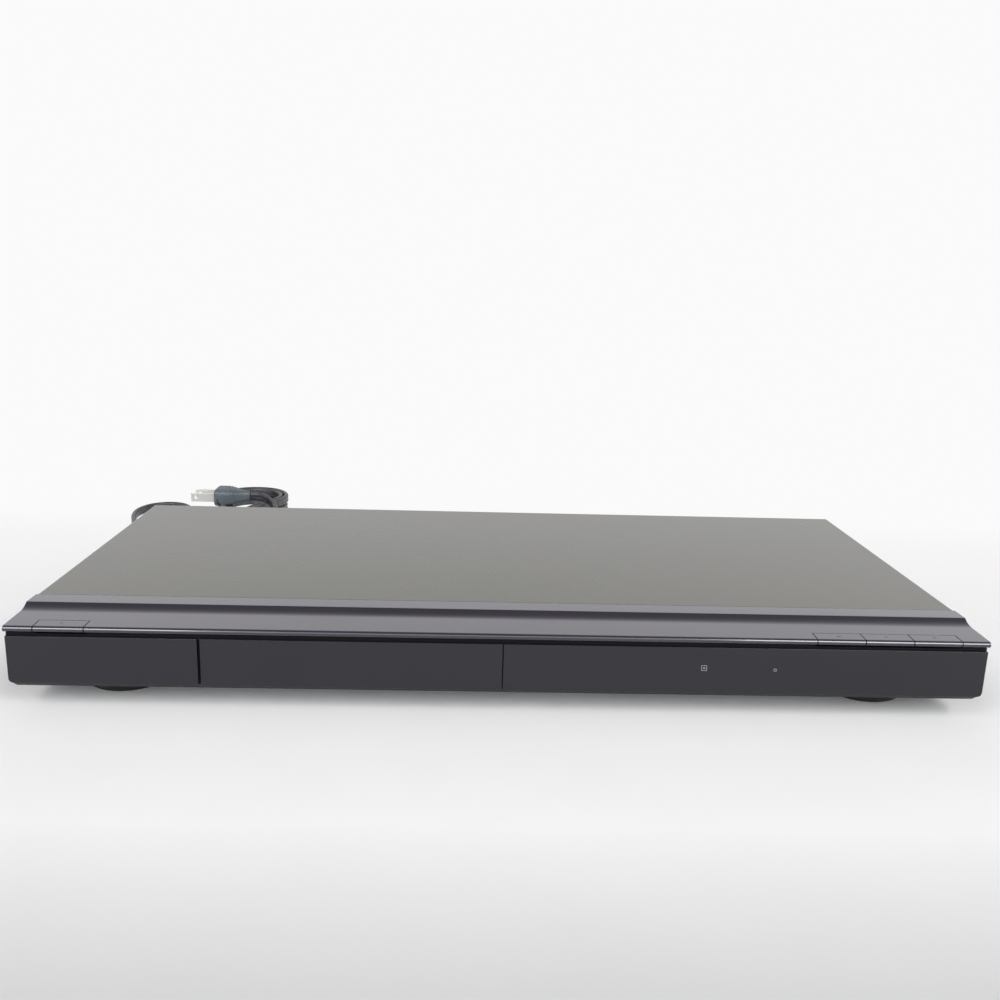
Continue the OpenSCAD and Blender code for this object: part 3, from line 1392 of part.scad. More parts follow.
// Twisted paper tie just in front of the waist
module cord_tie() {
    y = hank_mid - 7;
    r = drawn(0, y - 4) + cord_t / 2 + 0.9;
    h = cord_w + lift_z + 0.3;
    color("#3a3a3c") {
        difference() {
            box([hank_x - r - 0.7, y - 2, 0], [hank_x + r + 0.7, y + 2, h + 0.7]);
            box([hank_x - r, y - 3, -1], [hank_x + r, y + 3, h]);
        }
        translate([hank_x - r + 3, y, h + 0.3])
            rotate([0, -30, 0])
                cylinder(h = 9, r = 0.8);
    }
}

// Moulded two-pin plug that lies on the folds, pins to the left
plug_l = 25;
module plug_body() {
    color("#3c4248")
        difference() {
            union() {
                hull() {
                    box([plug_x - plug_l, plug_y - 10.5, plug_z - 6.7],
                        [plug_x - plug_l + 3, plug_y + 10.5, plug_z + 6.7]);
                    box([plug_x - 8, plug_y - 7, plug_z - 5.6], [plug_x - 7, plug_y + 7, plug_z + 5.6]);
                    box([plug_x - 1, plug_y - 2.4, plug_z - 4], [plug_x, plug_y + 2.4, plug_z + 4]);
                }
            }
            for (i = [0:2], s = [-1, 1])
                translate([plug_x - 15 + 3 * i, plug_y, plug_z + s * 7.4])
                    cube([1.2, 12, 2.4], center = true);
        }
}
module plug_blades() {
    color("#c9c39a")
        for (s = [-1, 1])
            difference() {
                box([plug_x - plug_l - 17.5, plug_y + s * 6.35 - 0.75, plug_z - 3.15],
                    [plug_x - plug_l - 0.02, plug_y + s * 6.35 + 0.75, plug_z + 3.15]);
                bar_y(plug_x - plug_l - 14, plug_z, 1.5, plug_y - 10, plug_y + 10);
            }
}

bottom_chassis();
rear_panel();
top_cover();
front_bezel();
left_face_panel();
display_window();
front_feet();
rear_feet();
foot_pads();
loader_frame();
clamp_bridge();
loading_motor();
drive_belt();
power_board();
transformer();
capacitors();
heat_sink();
main_board();
board_chips();
hdmi_socket();
component_sockets();
line_sockets();
digital_socket();
key_boards();
key_switches();
front_board();
display_module();
ir_receiver();
flat_cables();
wire_harness();
case_screws();
loader_screws();
board_screws();
cord_bushing();
power_cord();
cord_hank();
cord_tie();
plug_body();
plug_blades();
disc_tray();
tray_door();
power_button();
open_button();
play_button();
stop_button();
drive_gear();
pulley_gear();
motor_pulley();
cam_slider();
traverse_chassis();
spindle_motor();
guide_rods();
sled_motor();
turntable();
turntable_pad();
pickup();
sled_gear();
sled_pinion();
clamper();
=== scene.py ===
import bpy
import math
from mathutils import Matrix, Vector


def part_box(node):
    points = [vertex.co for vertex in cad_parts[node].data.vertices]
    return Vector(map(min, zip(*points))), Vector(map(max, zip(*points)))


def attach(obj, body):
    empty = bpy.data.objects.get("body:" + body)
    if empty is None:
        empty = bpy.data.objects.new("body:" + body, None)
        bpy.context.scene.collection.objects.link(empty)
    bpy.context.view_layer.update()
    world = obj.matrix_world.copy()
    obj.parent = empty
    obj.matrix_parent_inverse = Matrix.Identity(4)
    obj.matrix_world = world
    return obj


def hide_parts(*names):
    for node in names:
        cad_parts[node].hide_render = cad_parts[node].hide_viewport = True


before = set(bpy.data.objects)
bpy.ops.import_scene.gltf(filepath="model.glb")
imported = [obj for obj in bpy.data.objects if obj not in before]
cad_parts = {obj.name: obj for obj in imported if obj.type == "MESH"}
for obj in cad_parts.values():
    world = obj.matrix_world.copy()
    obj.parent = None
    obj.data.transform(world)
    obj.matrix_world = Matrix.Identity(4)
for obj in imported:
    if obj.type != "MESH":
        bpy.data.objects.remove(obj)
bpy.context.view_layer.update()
scene = bpy.context.scene
scene.view_settings.view_transform = "Standard"

# Camera
# A phone held half a metre in front of the player's middle and a little to its left, looking down
# on it. The yaw turns it to the right, the dip down, and the roll lifts its right side.
yaw, dip, roll = math.radians(1.995), math.radians(13.568), math.radians(1.699)
eye = (-0.017763, -0.502774, 0.196402)
ahead = Vector((math.sin(yaw) * math.cos(dip), math.cos(yaw) * math.cos(dip), -math.sin(dip)))
level = Vector((math.cos(yaw), -math.sin(yaw), 0))
above = level.cross(ahead)
right = level * math.cos(roll) + above * math.sin(roll)
up = above * math.cos(roll) - level * math.sin(roll)
lens = bpy.data.cameras.new("phone_lens")
lens.sensor_width = 36
lens.lens = 35.06
camera = bpy.data.objects.new("phone", lens)
turn = Matrix((right, up, -ahead)).transposed().to_4x4()
camera.matrix_world = Matrix.Translation(eye) @ turn
scene.collection.objects.link(camera)
scene.camera = camera

# Mains lead
# A flat twin lead, 6.4 by 3.2 mm: two stranded conductors side by side in black soft PVC with a
# shallow valley between them. It leaves the grip, swings out to the left, and is folded into a
# hank of four turns and a quarter, two layers high, that ends at the plug.


def linear(code):
    """Linear colour of an sRGB hex value."""
    parts = [int(code[i:i + 2], 16) / 255 for i in (1, 3, 5)]
    return [c / 12.92 if c <= 0.04045 else ((c + 0.055) / 1.055) ** 2.4 for c in parts] + [1]


def add(finish, kind, settings=None, links=None):
    """Adds a node to a finish, with its settings, a ramp's stops and the outputs that feed it."""
    node = finish.node_tree.nodes.new("ShaderNode" + kind)
    for key, value in (settings or {}).items():
        if key == "stops":
            for stop, (position, code) in zip(node.color_ramp.elements, value):
                stop.position = position
                stop.color = linear(code)
        elif isinstance(key, int) or key in node.inputs:
            node.inputs[key].default_value = value
        else:
            setattr(node, key, value)
    for key, output in (links or {}).items():
        finish.node_tree.links.new(output, node.inputs[key])
    return node


def new_finish(name):
    """An empty finish, and the place on the piece that its patterns follow."""
    finish = bpy.data.materials.new(name)
    finish.use_nodes = True
    finish.node_tree.nodes.clear()
    return finish, add(finish, "TexCoord").outputs["Object"]


def close(finish, shader):
    """Ends a finish with its shader."""
    add(finish, "OutputMaterial", {}, {"Surface": shader.outputs[0]})
    return finish


def scale(mm):
    """Scale of a pattern whose marks are so many millimetres wide."""
    return 1000 / mm


def skin(name, rings, finish, body):
    """A smooth closed piece through rings of points, which rides on a CAD body."""
    count = len(rings[0])
    last = len(rings) - 1
    faces = []
    for i in range(last):
        for k in range(count):
            j = (k + 1) % count
            faces.append((i * count + k, i * count + j, (i + 1) * count + j, (i + 1) * count + k))
    faces.append(tuple(reversed(range(count))))
    faces.append(tuple(range(last * count, len(rings) * count)))
    mesh = bpy.data.meshes.new(name)
    mesh.from_pydata([p for ring in rings for p in ring], [], faces)
    mesh.validate()
    for face in mesh.polygons:
        face.use_smooth = len(face.vertices) == 4
    mesh.materials.append(finish)
    piece = bpy.data.objects.new(name, mesh)
    scene.collection.objects.link(piece)
    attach(piece, body)
    return piece


def spline(points, parts):
    """Points on a smooth curve through the given ones, parts to each gap."""
    line = []
    for i in range(len(points) - 1):
        a, b = points[max(i - 1, 0)], points[i]
        c, d = points[i + 1], points[min(i + 2, len(points) - 1)]
        for j in range(parts):
            t = j / parts
            line.append(0.5 * (2 * b + (c - a) * t + (2 * a - 5 * b + 4 * c - d) * t ** 2
                               + (3 * b - a - 3 * c + d) * t ** 3))
    return line + [points[-1]]


def ease(t):
    """A smooth step from 0 to 1."""
    t = max(0, min(1, t))
    return t * t * (3 - 2 * t)


# Soft PVC: extruded, so it is even and satin, with dust in patches 6 mm wide. Its fine pores are
# drawn 0.7 mm wide to show.
lead_pvc, place = new_finish("soft_pvc_sleeve")
grime = add(lead_pvc, "TexNoise", {"Scale": scale(6), "Detail": 4, "Roughness": 0.6}, {"Vector": place})
tint = add(lead_pvc, "ValToRGB", {"stops": ((0.35, "#26262b"), (0.8, "#55565b"))},
           {"Fac": grime.outputs["Fac"]})
sheen = add(lead_pvc, "MapRange", {"To Min": 0.3, "To Max": 0.5}, {"Value": grime.outputs["Fac"]})
pores = add(lead_pvc, "TexNoise", {"Scale": scale(0.7), "Detail": 2}, {"Vector": place})
relief = add(lead_pvc, "Bump", {"Strength": 0.12, "Distance": 0.0001}, {"Height": pores.outputs["Fac"]})
close(lead_pvc, add(lead_pvc, "BsdfPrincipled", {"IOR": 1.53}, {
    "Base Color": tint.outputs["Color"], "Roughness": sheen.outputs["Result"],
    "Normal": relief.outputs["Normal"]}))

# The lead is sized in metres, and its route and hank are laid out in millimetres. Where it lies on
# the floor, it stands on its narrow edge, with its middle at the height lying_z.
lead_wide, lead_thick = 0.0064, 0.0032
lying_z = 1000 * lead_wide / 2
route = [(-204, 121, 19), (-204, 128, 18.9), (-205.6, 140, 18.6), (-210, 152, 18.1),
         (-218.5, 162, 17), (-229, 170.5, 12.5), (-241, 178.5, 7.4), (-253, 188, 3.8),
         (-263, 201, lying_z), (-269, 217, lying_z), (-270.5, 233, lying_z),
         (-265.5, 247, lying_z), (-254.5, 254, lying_z), (-243, 252, lying_z),
         (-234.5, 243, lying_z), (-228, 229, lying_z), (-222, 210.5, lying_z),
         (-218, 190, lying_z), (-215.7, 172, lying_z), (-215.5, 160.5, lying_z)]
free_line = spline([Vector(p) / 1000 for p in route], 6)
for point in free_line:
    point.z = max(point.z, lead_wide / 2)

# The hank's middle and its two ends
hank_x, near_y, far_y = -188, 160.5, 256.5
# Radius of its outer folds, half its gap at the tied waist, step between turns, height of a layer
fold_r, waist_r, step, lift = 27.5, 9.6, 4.2, 7
# In turns: where it climbs to the upper layer, half the length of the climb, and the whole hank
climb_at, half_climb, turns = 1.94, 0.055, 4.25
# Points to each turn
fineness = 64


def inset(u):
    """How far turn u lies inside the outermost one: inwards on the floor, outwards above."""
    return step * (u if u < climb_at else 2 * climb_at - u)


def half_gap(u, y):
    """Half the distance between the two runs at depth y, drawn in at the waist."""
    k = (1 + math.cos(2 * math.pi * (y - (near_y + far_y) / 2) / (far_y - near_y))) / 2
    return fold_r * (1 - k) + waist_r * k - inset(u)


def hank_point(u):
    """Point of the folded lead after u turns: a fold, a run back, a fold and a run forward."""
    z = lying_z + lift * ease((u - climb_at + half_climb) / (2 * half_climb))
    part, r, run = u - math.floor(u), fold_r - inset(u), far_y - near_y
    if part < 0.25:
        a = math.pi * (1 + 4 * part)
        return Vector((hank_x + r * math.cos(a), near_y + r * math.sin(a), z))
    if part < 0.5:
        y = near_y + run * (part - 0.25) * 4
        return Vector((hank_x + half_gap(u, y), y, z))
    if part < 0.75:
        a = 4 * math.pi * (part - 0.5)
        return Vector((hank_x + r * math.cos(a), far_y + r * math.sin(a), z))
    y = far_y - run * (part - 0.75) * 4
    return Vector((hank_x - half_gap(u, y), y, z))


hank_line = [hank_point(i / fineness) / 1000 for i in range(1, int(fineness * turns) + 1)]

# From the hank's last turn, which ends at end_x, the lead rises over the runs to the plug's root.
end_x = hank_x + fold_r - inset(turns)
plug_x, plug_y, plug_z = -182, 221, 20.3
to_plug = [hank_point(turns), (end_x + 0.2, near_y + 8, 10.6), (end_x + 0.8, near_y + 18, 11.8),
           (end_x + 1, near_y + 29, 13.8), (end_x - 0.6, near_y + 40, 16.2),
           (end_x - 5, near_y + 50, 18.3), (end_x - 12, plug_y - 2.6, 19.8),
           (plug_x + 5, plug_y, plug_z), (plug_x, plug_y, plug_z)]
plug_line = spline([Vector(p) / 1000 for p in to_plug], 6)[1:]
lead_line = free_line + hank_line + plug_line


def lead_ring(here, way):
    """Outline of the flat twin lead, standing on its narrow edge."""
    across = Vector((-way.y, way.x, 0)).normalized()
    tall = way.cross(across).normalized()
    if tall.z < 0:
        tall = -tall
    flat = 0.5
    ring = []
    for k in range(20):
        a = 2 * math.pi * k / 20
        s = math.sin(a)
        valley = 0.24 * math.exp(-(s / 0.2) ** 2)
        rounding = max(0, abs(s) - flat) / (1 - flat)
        x = lead_thick / 2 * (1 - valley) * (1 - rounding ** 2) ** 0.5
        ring.append(here + across * x * (1 if math.cos(a) > 0 else -1) + tall * s * lead_wide / 2)
    return ring


lead_rings = []
for i, here in enumerate(lead_line):
    way = lead_line[min(i + 1, len(lead_line) - 1)] - lead_line[max(i - 1, 0)]
    lead_rings.append(lead_ring(here, way.normalized()))
mains_lead = skin("mains_lead", lead_rings, lead_pvc, "player")
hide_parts("power_cord", "cord_hank")

# Plug
# A two-pin plug of dark grey vinyl, moulded round the end of the lead and the roots of its blades.
# Its body flares to the front, has three grip grooves above and below, and lies on the hank.

# Moulded vinyl: a fine grain that is drawn 0.9 mm wide to show, a low gloss and paler worn patches
plug_vinyl, place = new_finish("moulded_plug_vinyl")
grain = add(plug_vinyl, "TexNoise", {"Scale": scale(0.9), "Detail": 3}, {"Vector": place})
patina = add(plug_vinyl, "TexNoise", {"Scale": scale(8), "Detail": 3}, {"Vector": place})
tint = add(plug_vinyl, "ValToRGB", {"stops": ((0, "#414a50"), (1, "#5f696f"))},
           {"Fac": patina.outputs["Fac"]})
relief = add(plug_vinyl, "Bump", {"Strength": 0.25, "Distance": 0.0001}, {"Height": grain.outputs["Fac"]})
close(plug_vinyl, add(plug_vinyl, "BsdfPrincipled", {"IOR": 1.53, "Roughness": 0.46}, {
    "Base Color": tint.outputs["Color"], "Normal": relief.outputs["Normal"]}))


def boxed(wave, power):
    """A sine or cosine pushed outwards, which turns a circle of the two into a rounded box."""
    return math.copysign(abs(wave) ** power, wave)


def plug_ring(s, half_y, half_z, squareness):
    """A rounded rectangle across the plug, s millimetres from its root."""
    ring = []
    for k in range(40):
        a = 2 * math.pi * k / 40
        y = half_y * boxed(math.cos(a), 2 / squareness)
        z = half_z * boxed(math.sin(a), 2 / squareness)
        ring.append(Vector((plug_x - s, plug_y + y, plug_z + z)) / 1000)
    return ring


# In millimetres: the body's length and that of its flare, half its size at the root, and what the
# flare adds to that
plug_long, flare_long = 25, 17
root_y, root_z, flare_y, flare_z = 2.4, 4.0, 8.0, 2.6
# Distances of the grooves from the root, their depth, and half their width
groove_places, groove_deep, groove_half = (10.5, 13, 15.5), 0.55, 0.55
# Length and height of the rounded front edge
edge_long, edge_high = 1.4, 0.7
plug_rings = []
for i in range(76):
    s = plug_long * i / 75
    flare = ease(s / flare_long)
    groove = groove_deep * sum(math.exp(-((s - g) / groove_half) ** 2) for g in groove_places)
    edge = edge_high * max(0, (s - plug_long + edge_long) / edge_long) ** 2
    half_y = root_y + flare_y * flare - edge
    half_z = root_z + flare_z * flare - groove - edge
    plug_rings.append(plug_ring(s, half_y, half_z, 2.6 + 1.6 * flare))
# The front face is sunk a little inside its rim.
for sunk, half_y, half_z in ((0, 8.6, 4.8), (0.6, 8.3, 4.5)):
    plug_rings.append(plug_ring(plug_long - sunk, half_y, half_z, 4.2))
plug = skin("plug_moulding", plug_rings, plug_vinyl, "player")
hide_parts("plug_body")

# Blades: brass strip, punched and nickel plated, so it is bright, with fine wear 2 mm wide
blade_metal, place = new_finish("nickel_plated_brass")
wear = add(blade_metal, "TexNoise", {"Scale": scale(2), "Detail": 4}, {"Vector": place})
gloss = add(blade_metal, "MapRange", {"To Min": 0.32, "To Max": 0.42}, {"Value": wear.outputs["Fac"]})
edge = add(blade_metal, "Bevel", {"Radius": 0.0003})
close(blade_metal, add(blade_metal, "BsdfPrincipled", {"Metallic": 1, "Base Color": linear("#ebe9e4")}, {
    "Roughness": gloss.outputs["Result"], "Normal": edge.outputs["Normal"]}))


def dress(node, *finishes):
    """Gives a CAD node its finishes."""
    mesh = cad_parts[node].data
    mesh.materials.clear()
    for finish in finishes:
        mesh.materials.append(finish)


dress("plug_blades", blade_metal)

# Tie
# A twist tie: a 4 mm paper strip with a steel wire in its middle, wrapped once round the waist
# of the hank and twisted shut on top, with its two ends left standing.

# Waxed paper: matt, with a fine fibre that is drawn 0.5 mm wide to show
tie_paper, place = new_finish("waxed_tie_paper")
fibre = add(tie_paper, "TexNoise", {"Scale": scale(0.5), "Detail": 3}, {"Vector": place})
tint = add(tie_paper, "ValToRGB", {"stops": ((0, "#1b1b1e"), (1, "#3b3b40"))}, {"Fac": fibre.outputs["Fac"]})
relief = add(tie_paper, "Bump", {"Strength": 0.4, "Distance": 0.00015}, {"Height": fibre.outputs["Fac"]})
close(tie_paper, add(tie_paper, "BsdfPrincipled", {"Roughness": 0.6}, {
    "Base Color": tint.outputs["Color"], "Normal": relief.outputs["Normal"]}))

# In millimetres: the band's place, and half its width, its bottom and its top, which clear the
# runs of the lead by a little
tie_y = (near_y + far_y) / 2 - 7
tie_half = half_gap(0, tie_y - 2) + 1000 * lead_thick / 2 + 0.6
tie_low, tie_top = 0.5, 1000 * lead_wide + lift + 0.4


def tie_ring(centre, outward, along, half, wire):
    """Section of the strip: flat, with the wire's ridge along its middle."""
    paper, wire_wide = 0.22, 0.25
    ring = []
    for k in range(12):
        a = 2 * math.pi * k / 12
        w = math.cos(a)
        thick = paper + wire * math.exp(-(w / wire_wide) ** 2)
        ring.append((centre + along * half * w + outward * thick * math.sin(a)) / 1000)
    return ring


loop = []
for k in range(97):
    a = 2 * math.pi * k / 96 + math.pi / 2
    x = tie_half * boxed(math.cos(a), 0.35)
    z = tie_low + (tie_top - tie_low) * (0.5 + 0.5 * boxed(math.sin(a), 0.35))
    loop.append(Vector((hank_x + x, tie_y, z)))
tie_rings = []
for k, here in enumerate(loop):
    way = loop[min(k + 1, 96)] - loop[max(k - 1, 0)]
    outward = Vector((way.z, 0, -way.x)).normalized()
    tie_rings.append(tie_ring(here, outward, Vector((0, 1, 0)), 1.9, 0.28))
tie_band = skin("tie_band", tie_rings, tie_paper, "player")
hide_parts("cord_tie")


# The ends stand on top of the band and lean to the left. In millimetres: half the width of a
# twisted strand, its distance from the middle of the twist, and the height of its wire
root = Vector((hank_x - tie_half + 3, tie_y, tie_top + 0.2))
lean = Vector((-0.5, 0, 0.866))
strand_half, strand_apart, strand_wire = 0.9, 0.35, 0.2
# They are twisted for 0.6 of their length and part from 0.55 of it on, by tip_gap each at the
# tips, where the power that parts them comes to about 0.3.
twisted, half_turns, part_from, tip_gap = 0.6, 4.5, 0.55, 1.6


def tie_end(side, reach):
    """Rings of one end of the tie, on one side of the twist and reach millimetres long."""
    rings = []
    for k in range(41):
        t = k / 40
        parting = side * tip_gap * max(0, t - part_from) ** 1.5 / 0.3
        twist = half_turns * math.pi * min(t, twisted) + (0 if side > 0 else math.pi)
        flat = Vector((lean.z * math.sin(twist), math.cos(twist), -lean.x * math.sin(twist)))
        here = root + lean * reach * t + Vector((0, parting, 0)) + flat * strand_apart
        rings.append(tie_ring(here, lean.cross(flat), flat, strand_half, strand_wire))
    return rings


for name, side, reach in (("tie_end_b", -1, 7.38), ("tie_end_a", 1, 9)):
    piece = skin(name, tie_end(side, reach), tie_paper, "player")

# The length of the free lead, and its points as tuples
length = sum((b - a).length for a, b in zip(lead_line, lead_line[1:]))
[tuple(p) for p in lead_line]

# Bushing and grip
# Moulded in the same PVC as the lead, and snapped into the square hole of the back panel. The
# slots in the grip let it bend.

# Moulded PVC: darker than the sleeve and less glossy, with a grain that is drawn 0.6 mm wide
grip_pvc, place = new_finish("moulded_grip_pvc")
grain = add(grip_pvc, "TexNoise", {"Scale": scale(0.6), "Detail": 3}, {"Vector": place})
tint = add(grip_pvc, "ValToRGB", {"stops": ((0, "#141416"), (1, "#26262a"))}, {"Fac": grain.outputs["Fac"]})
edge = add(grip_pvc, "Bevel", {"Radius": 0.0005})
relief = add(grip_pvc, "Bump", {"Strength": 0.2, "Distance": 0.0001},
             {"Height": grain.outputs["Fac"], "Normal": edge.outputs["Normal"]})
close(grip_pvc, add(grip_pvc, "BsdfPrincipled", {"Roughness": 0.48, "IOR": 1.53}, {
    "Base Color": tint.outputs["Color"], "Normal": relief.outputs["Normal"]}))
dress("cord_bushing", grip_pvc)

# Top cover
# One sheet of 0.8 mm steel, folded over both sides and down behind, precoated in a satin charcoal
# enamel, and held by screws.


def soften(node, angle=25):
    """Shades a CAD node smooth, with its edges over the angle kept crisp."""
    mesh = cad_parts[node].data
    for face in mesh.polygons:
        face.use_smooth = True
    mesh.set_sharp_from_angle(angle=math.radians(angle))


# Satin enamel: it takes finger smudges, some 90 mm wide, and smaller hazy marks, so its tone and
# gloss are uneven.
cover_enamel, place = new_finish("satin_enamelled_steel")
smudge = add(cover_enamel, "TexNoise", {"Scale": scale(90), "Detail": 3, "Roughness": 0.5,
                                        "Distortion": 0.4}, {"Vector": place})
haze = add(cover_enamel, "TexNoise", {"Scale": scale(21), "Detail": 2}, {"Vector": place})
blend = add(cover_enamel, "Mix", {"data_type": "FLOAT", 0: 0.35},
            {2: smudge.outputs["Fac"], 3: haze.outputs["Fac"]})
gloss = add(cover_enamel, "MapRange", {"From Min": 0.3, "From Max": 0.7, "To Min": 0.25, "To Max": 0.3},
            {"Value": blend.outputs[0]})
tint = add(cover_enamel, "ValToRGB", {"stops": ((0.3, "#434339"), (0.7, "#514e46"))},
           {"Fac": blend.outputs[0]})
edge = add(cover_enamel, "Bevel", {"Radius": 0.0004})
close(cover_enamel, add(cover_enamel, "BsdfPrincipled", {
    "IOR": 1.5, "Coat Weight": 0.4, "Coat Roughness": 0.2}, {
    "Base Color": tint.outputs["Color"], "Roughness": gloss.outputs["Result"],
    "Normal": edge.outputs["Normal"], "Coat Normal": edge.outputs["Normal"]}))
dress("top_cover", cover_enamel)
soften("top_cover")

# Moulded front, keys
# Injection-moulded ABS in a near-black violet grey. The keys are cut from the same nose and ledge
# and stand in narrow gaps.

# Polished in the tool, so it shines softly, with wipe marks 50 mm wide and a faint 4 mm flow
front_abs, place = new_finish("polished_abs")
wipe = add(front_abs, "TexNoise", {"Scale": scale(50), "Detail": 4, "Distortion": 0.4}, {"Vector": place})
gloss = add(front_abs, "MapRange", {"From Min": 0.3, "From Max": 0.7, "To Min": 0.16, "To Max": 0.24},
            {"Value": wipe.outputs["Fac"]})
tint = add(front_abs, "ValToRGB", {"stops": ((0, "#17141c"), (1, "#201c26"))}, {"Fac": wipe.outputs["Fac"]})
edge = add(front_abs, "Bevel", {"Radius": 0.00015})
flow = add(front_abs, "TexNoise", {"Scale": scale(4), "Detail": 1}, {"Vector": place})
relief = add(front_abs, "Bump", {"Strength": 0.03, "Distance": 0.0001},
             {"Height": flow.outputs["Fac"], "Normal": edge.outputs["Normal"]})
close(front_abs, add(front_abs, "BsdfPrincipled", {
    "IOR": 1.52, "Specular Tint": linear("#f3f0fa"), "Coat Weight": 1.0, "Coat Roughness": 0.08,
    "Coat IOR": 1.5, "Coat Tint": linear("#f3f0fa")}, {
    "Base Color": tint.outputs["Color"], "Roughness": gloss.outputs["Result"],
    "Normal": relief.outputs["Normal"], "Coat Normal": edge.outputs["Normal"]}))

# Left rough by the tool, so it is matt, with a grain that is drawn 0.8 mm wide. Its colour is
# painted blacker, as painted shade in the groove, the gaps and the hollows behind the front
core_abs_and_shade, place = new_finish("unpolished_abs_and_painted_shade")
grain = add(core_abs_and_shade, "TexNoise", {"Scale": scale(0.8), "Detail": 3}, {"Vector": place})
tint = add(core_abs_and_shade, "ValToRGB", {"stops": ((0, "#060608"), (1, "#0d0d10"))}, {"Fac": grain.outputs["Fac"]})
relief = add(core_abs_and_shade, "Bump", {"Strength": 0.2, "Distance": 0.0001}, {"Height": grain.outputs["Fac"]})
close(core_abs_and_shade, add(core_abs_and_shade, "BsdfPrincipled", {"Roughness": 0.6, "Specular IOR Level": 0.3}, {
    "Base Color": tint.outputs["Color"], "Normal": relief.outputs["Normal"]}))

# The groove under the nose, what lies behind the panels, the faces that look down and the walls of
# the gaps round the keys have no polish, but the outer sides of the front have it. These hollows
# also take the blacker colour, as painted shade. nose_low is just under the nose, and side_x just
# inside the outer sides.
nose_low, side_x = 0.0376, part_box("front_bezel")[1].x - 0.0005
keys = ("power_button", "open_button", "play_button", "stop_button")
for node in ("front_bezel", *keys):
    dress(node, front_abs, core_abs_and_shade)
    soften(node)
    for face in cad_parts[node].data.polygons:
        inside = abs(face.center.x) < side_x
        wall = abs(face.normal.x) > 0.9 or face.normal.y > 0.9 or face.normal.z < -0.99
        # Painted shade: these faces take the blacker, matt finish.
        if inside and (wall or face.center.z < nose_low):
            face.material_index = 1

# Face panels, display window and tray door
# Glossy black acrylic, 2.2 mm, moulded in a mirror-polished tool and glued or clipped to the
# front.

# Acrylic: it reflects the room sharply, and shows a few wipe marks 30 mm wide
face_acrylic, place = new_finish("gloss_black_acrylic")
wipe = add(face_acrylic, "TexNoise", {"Scale": scale(30), "Detail": 5, "Distortion": 1.2}, {"Vector": place})
gloss = add(face_acrylic, "MapRange", {"From Min": 0.35, "From Max": 0.75, "To Min": 0.035, "To Max": 0.11},
            {"Value": wipe.outputs["Fac"]})
tint = add(face_acrylic, "ValToRGB", {"stops": ((0, "#16151c"), (1, "#1b1a23"))},
           {"Fac": wipe.outputs["Fac"]})
edge = add(face_acrylic, "Bevel", {"Radius": 0.0003})
close(face_acrylic, add(face_acrylic, "BsdfPrincipled", {"IOR": 1.49}, {
    "Base Color": tint.outputs["Color"], "Roughness": gloss.outputs["Result"],
    "Normal": edge.outputs["Normal"]}))
for node in ("left_face_panel", "display_window", "tray_door"):
    dress(node, face_acrylic)

# Marks
# Pad-printed marks, 0.03 mm thick: dark open, play, stop and power signs on the keys, and on the
# window's face a plain grey receiver mark and a plain indicator.


def ink(name, dark, light, rough):
    """Pad-printing ink: matt, and thinner in spots, which are drawn 0.3 mm wide to show."""
    finish, place = new_finish(name)
    spots = add(finish, "TexNoise", {"Scale": scale(0.3), "Detail": 2}, {"Vector": place})
    tint = add(finish, "ValToRGB", {"stops": ((0, dark), (1, light))}, {"Fac": spots.outputs["Fac"]})
    return close(finish, add(finish, "BsdfPrincipled", {"Roughness": rough}, {
        "Base Color": tint.outputs["Color"]}))


window_ink = ink("pad_printed_ink", "#6f6f75", "#8d8d93", 0.5)
key_ink = ink("pad_printed_dark_ink", "#4c4c52", "#5e5e64", 0.45)


def mark(name, outlines, to_world, body, finish):
    """A thin printed mark made of outlines in millimetres, put in place by to_world."""
    thick = 0.03
    points, faces = [], []
    for outline in outlines:
        n, start = len(outline), len(points)
        points += [to_world(x, y, 0) for x, y in outline] + [to_world(x, y, thick) for x, y in outline]
        faces.append(tuple(start + n + k for k in range(n)))
        faces += [(start + k, start + (k + 1) % n, start + n + (k + 1) % n, start + n + k) for k in range(n)]
    mesh = bpy.data.meshes.new(name)
    mesh.from_pydata(points, [], faces)
    mesh.materials.append(finish)
    piece = bpy.data.objects.new(name, mesh)
    scene.collection.objects.link(piece)
    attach(piece, body)
    return piece


def arc_band(r0, r1, a0, a1, n=20):
    """Outline of a part of a ring."""
    angles = [math.radians(a0 + (a1 - a0) * k / n) for k in range(n + 1)]
    return ([(r1 * math.cos(a), r1 * math.sin(a)) for a in angles]
            + [(r0 * math.cos(a), r0 * math.sin(a)) for a in reversed(angles)])


def bar(x0, y0, x1, y1):
    """Outline of a rectangle."""
    return [(x0, y0), (x1, y0), (x1, y1), (x0, y1)]


# The ledge rises from its front edge, and a sign lies a little behind its key's front edge.
ledge_y, ledge_z, ledge_slope = -0.1046, 0.0405, 0.0195
sign_back = 0.0047


def on_key(node):
    """Puts a mark on a key's sloping top."""
    low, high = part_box(node)
    centre_x, centre_y = (low.x + high.x) / 2, low.y + sign_back

    def to_world(x, y, z):
        there_y = centre_y + y / 1000
        return centre_x + x / 1000, there_y, ledge_z + (there_y - ledge_y) * ledge_slope + z / 1000
    return to_world


signs = {
    "power_button": ("power_key", [arc_band(0.55, 0.75, 120, 420), bar(-0.1, 0.2, 0.1, 0.95)]),
    "open_button": ("open_key", [[(-0.9, -0.1), (0.9, -0.1), (0, 0.8)], bar(-0.9, -0.6, 0.9, -0.32)]),
    "play_button": ("play_key", [[(-0.7, -0.7), (0.8, 0), (-0.7, 0.7)]]),
    "stop_button": ("stop_key", [bar(-0.6, -0.6, 0.6, 0.6)])}
for node, (body, outlines) in signs.items():
    mark(node + "_sign", outlines, on_key(node), body, key_ink)

face_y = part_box("display_window")[0].y


def on_window(centre_x, centre_z):
    """Puts a mark on the window's face."""
    def to_world(x, y, z):
        return centre_x + x / 1000, face_y - z / 1000, centre_z + y / 1000
    return to_world


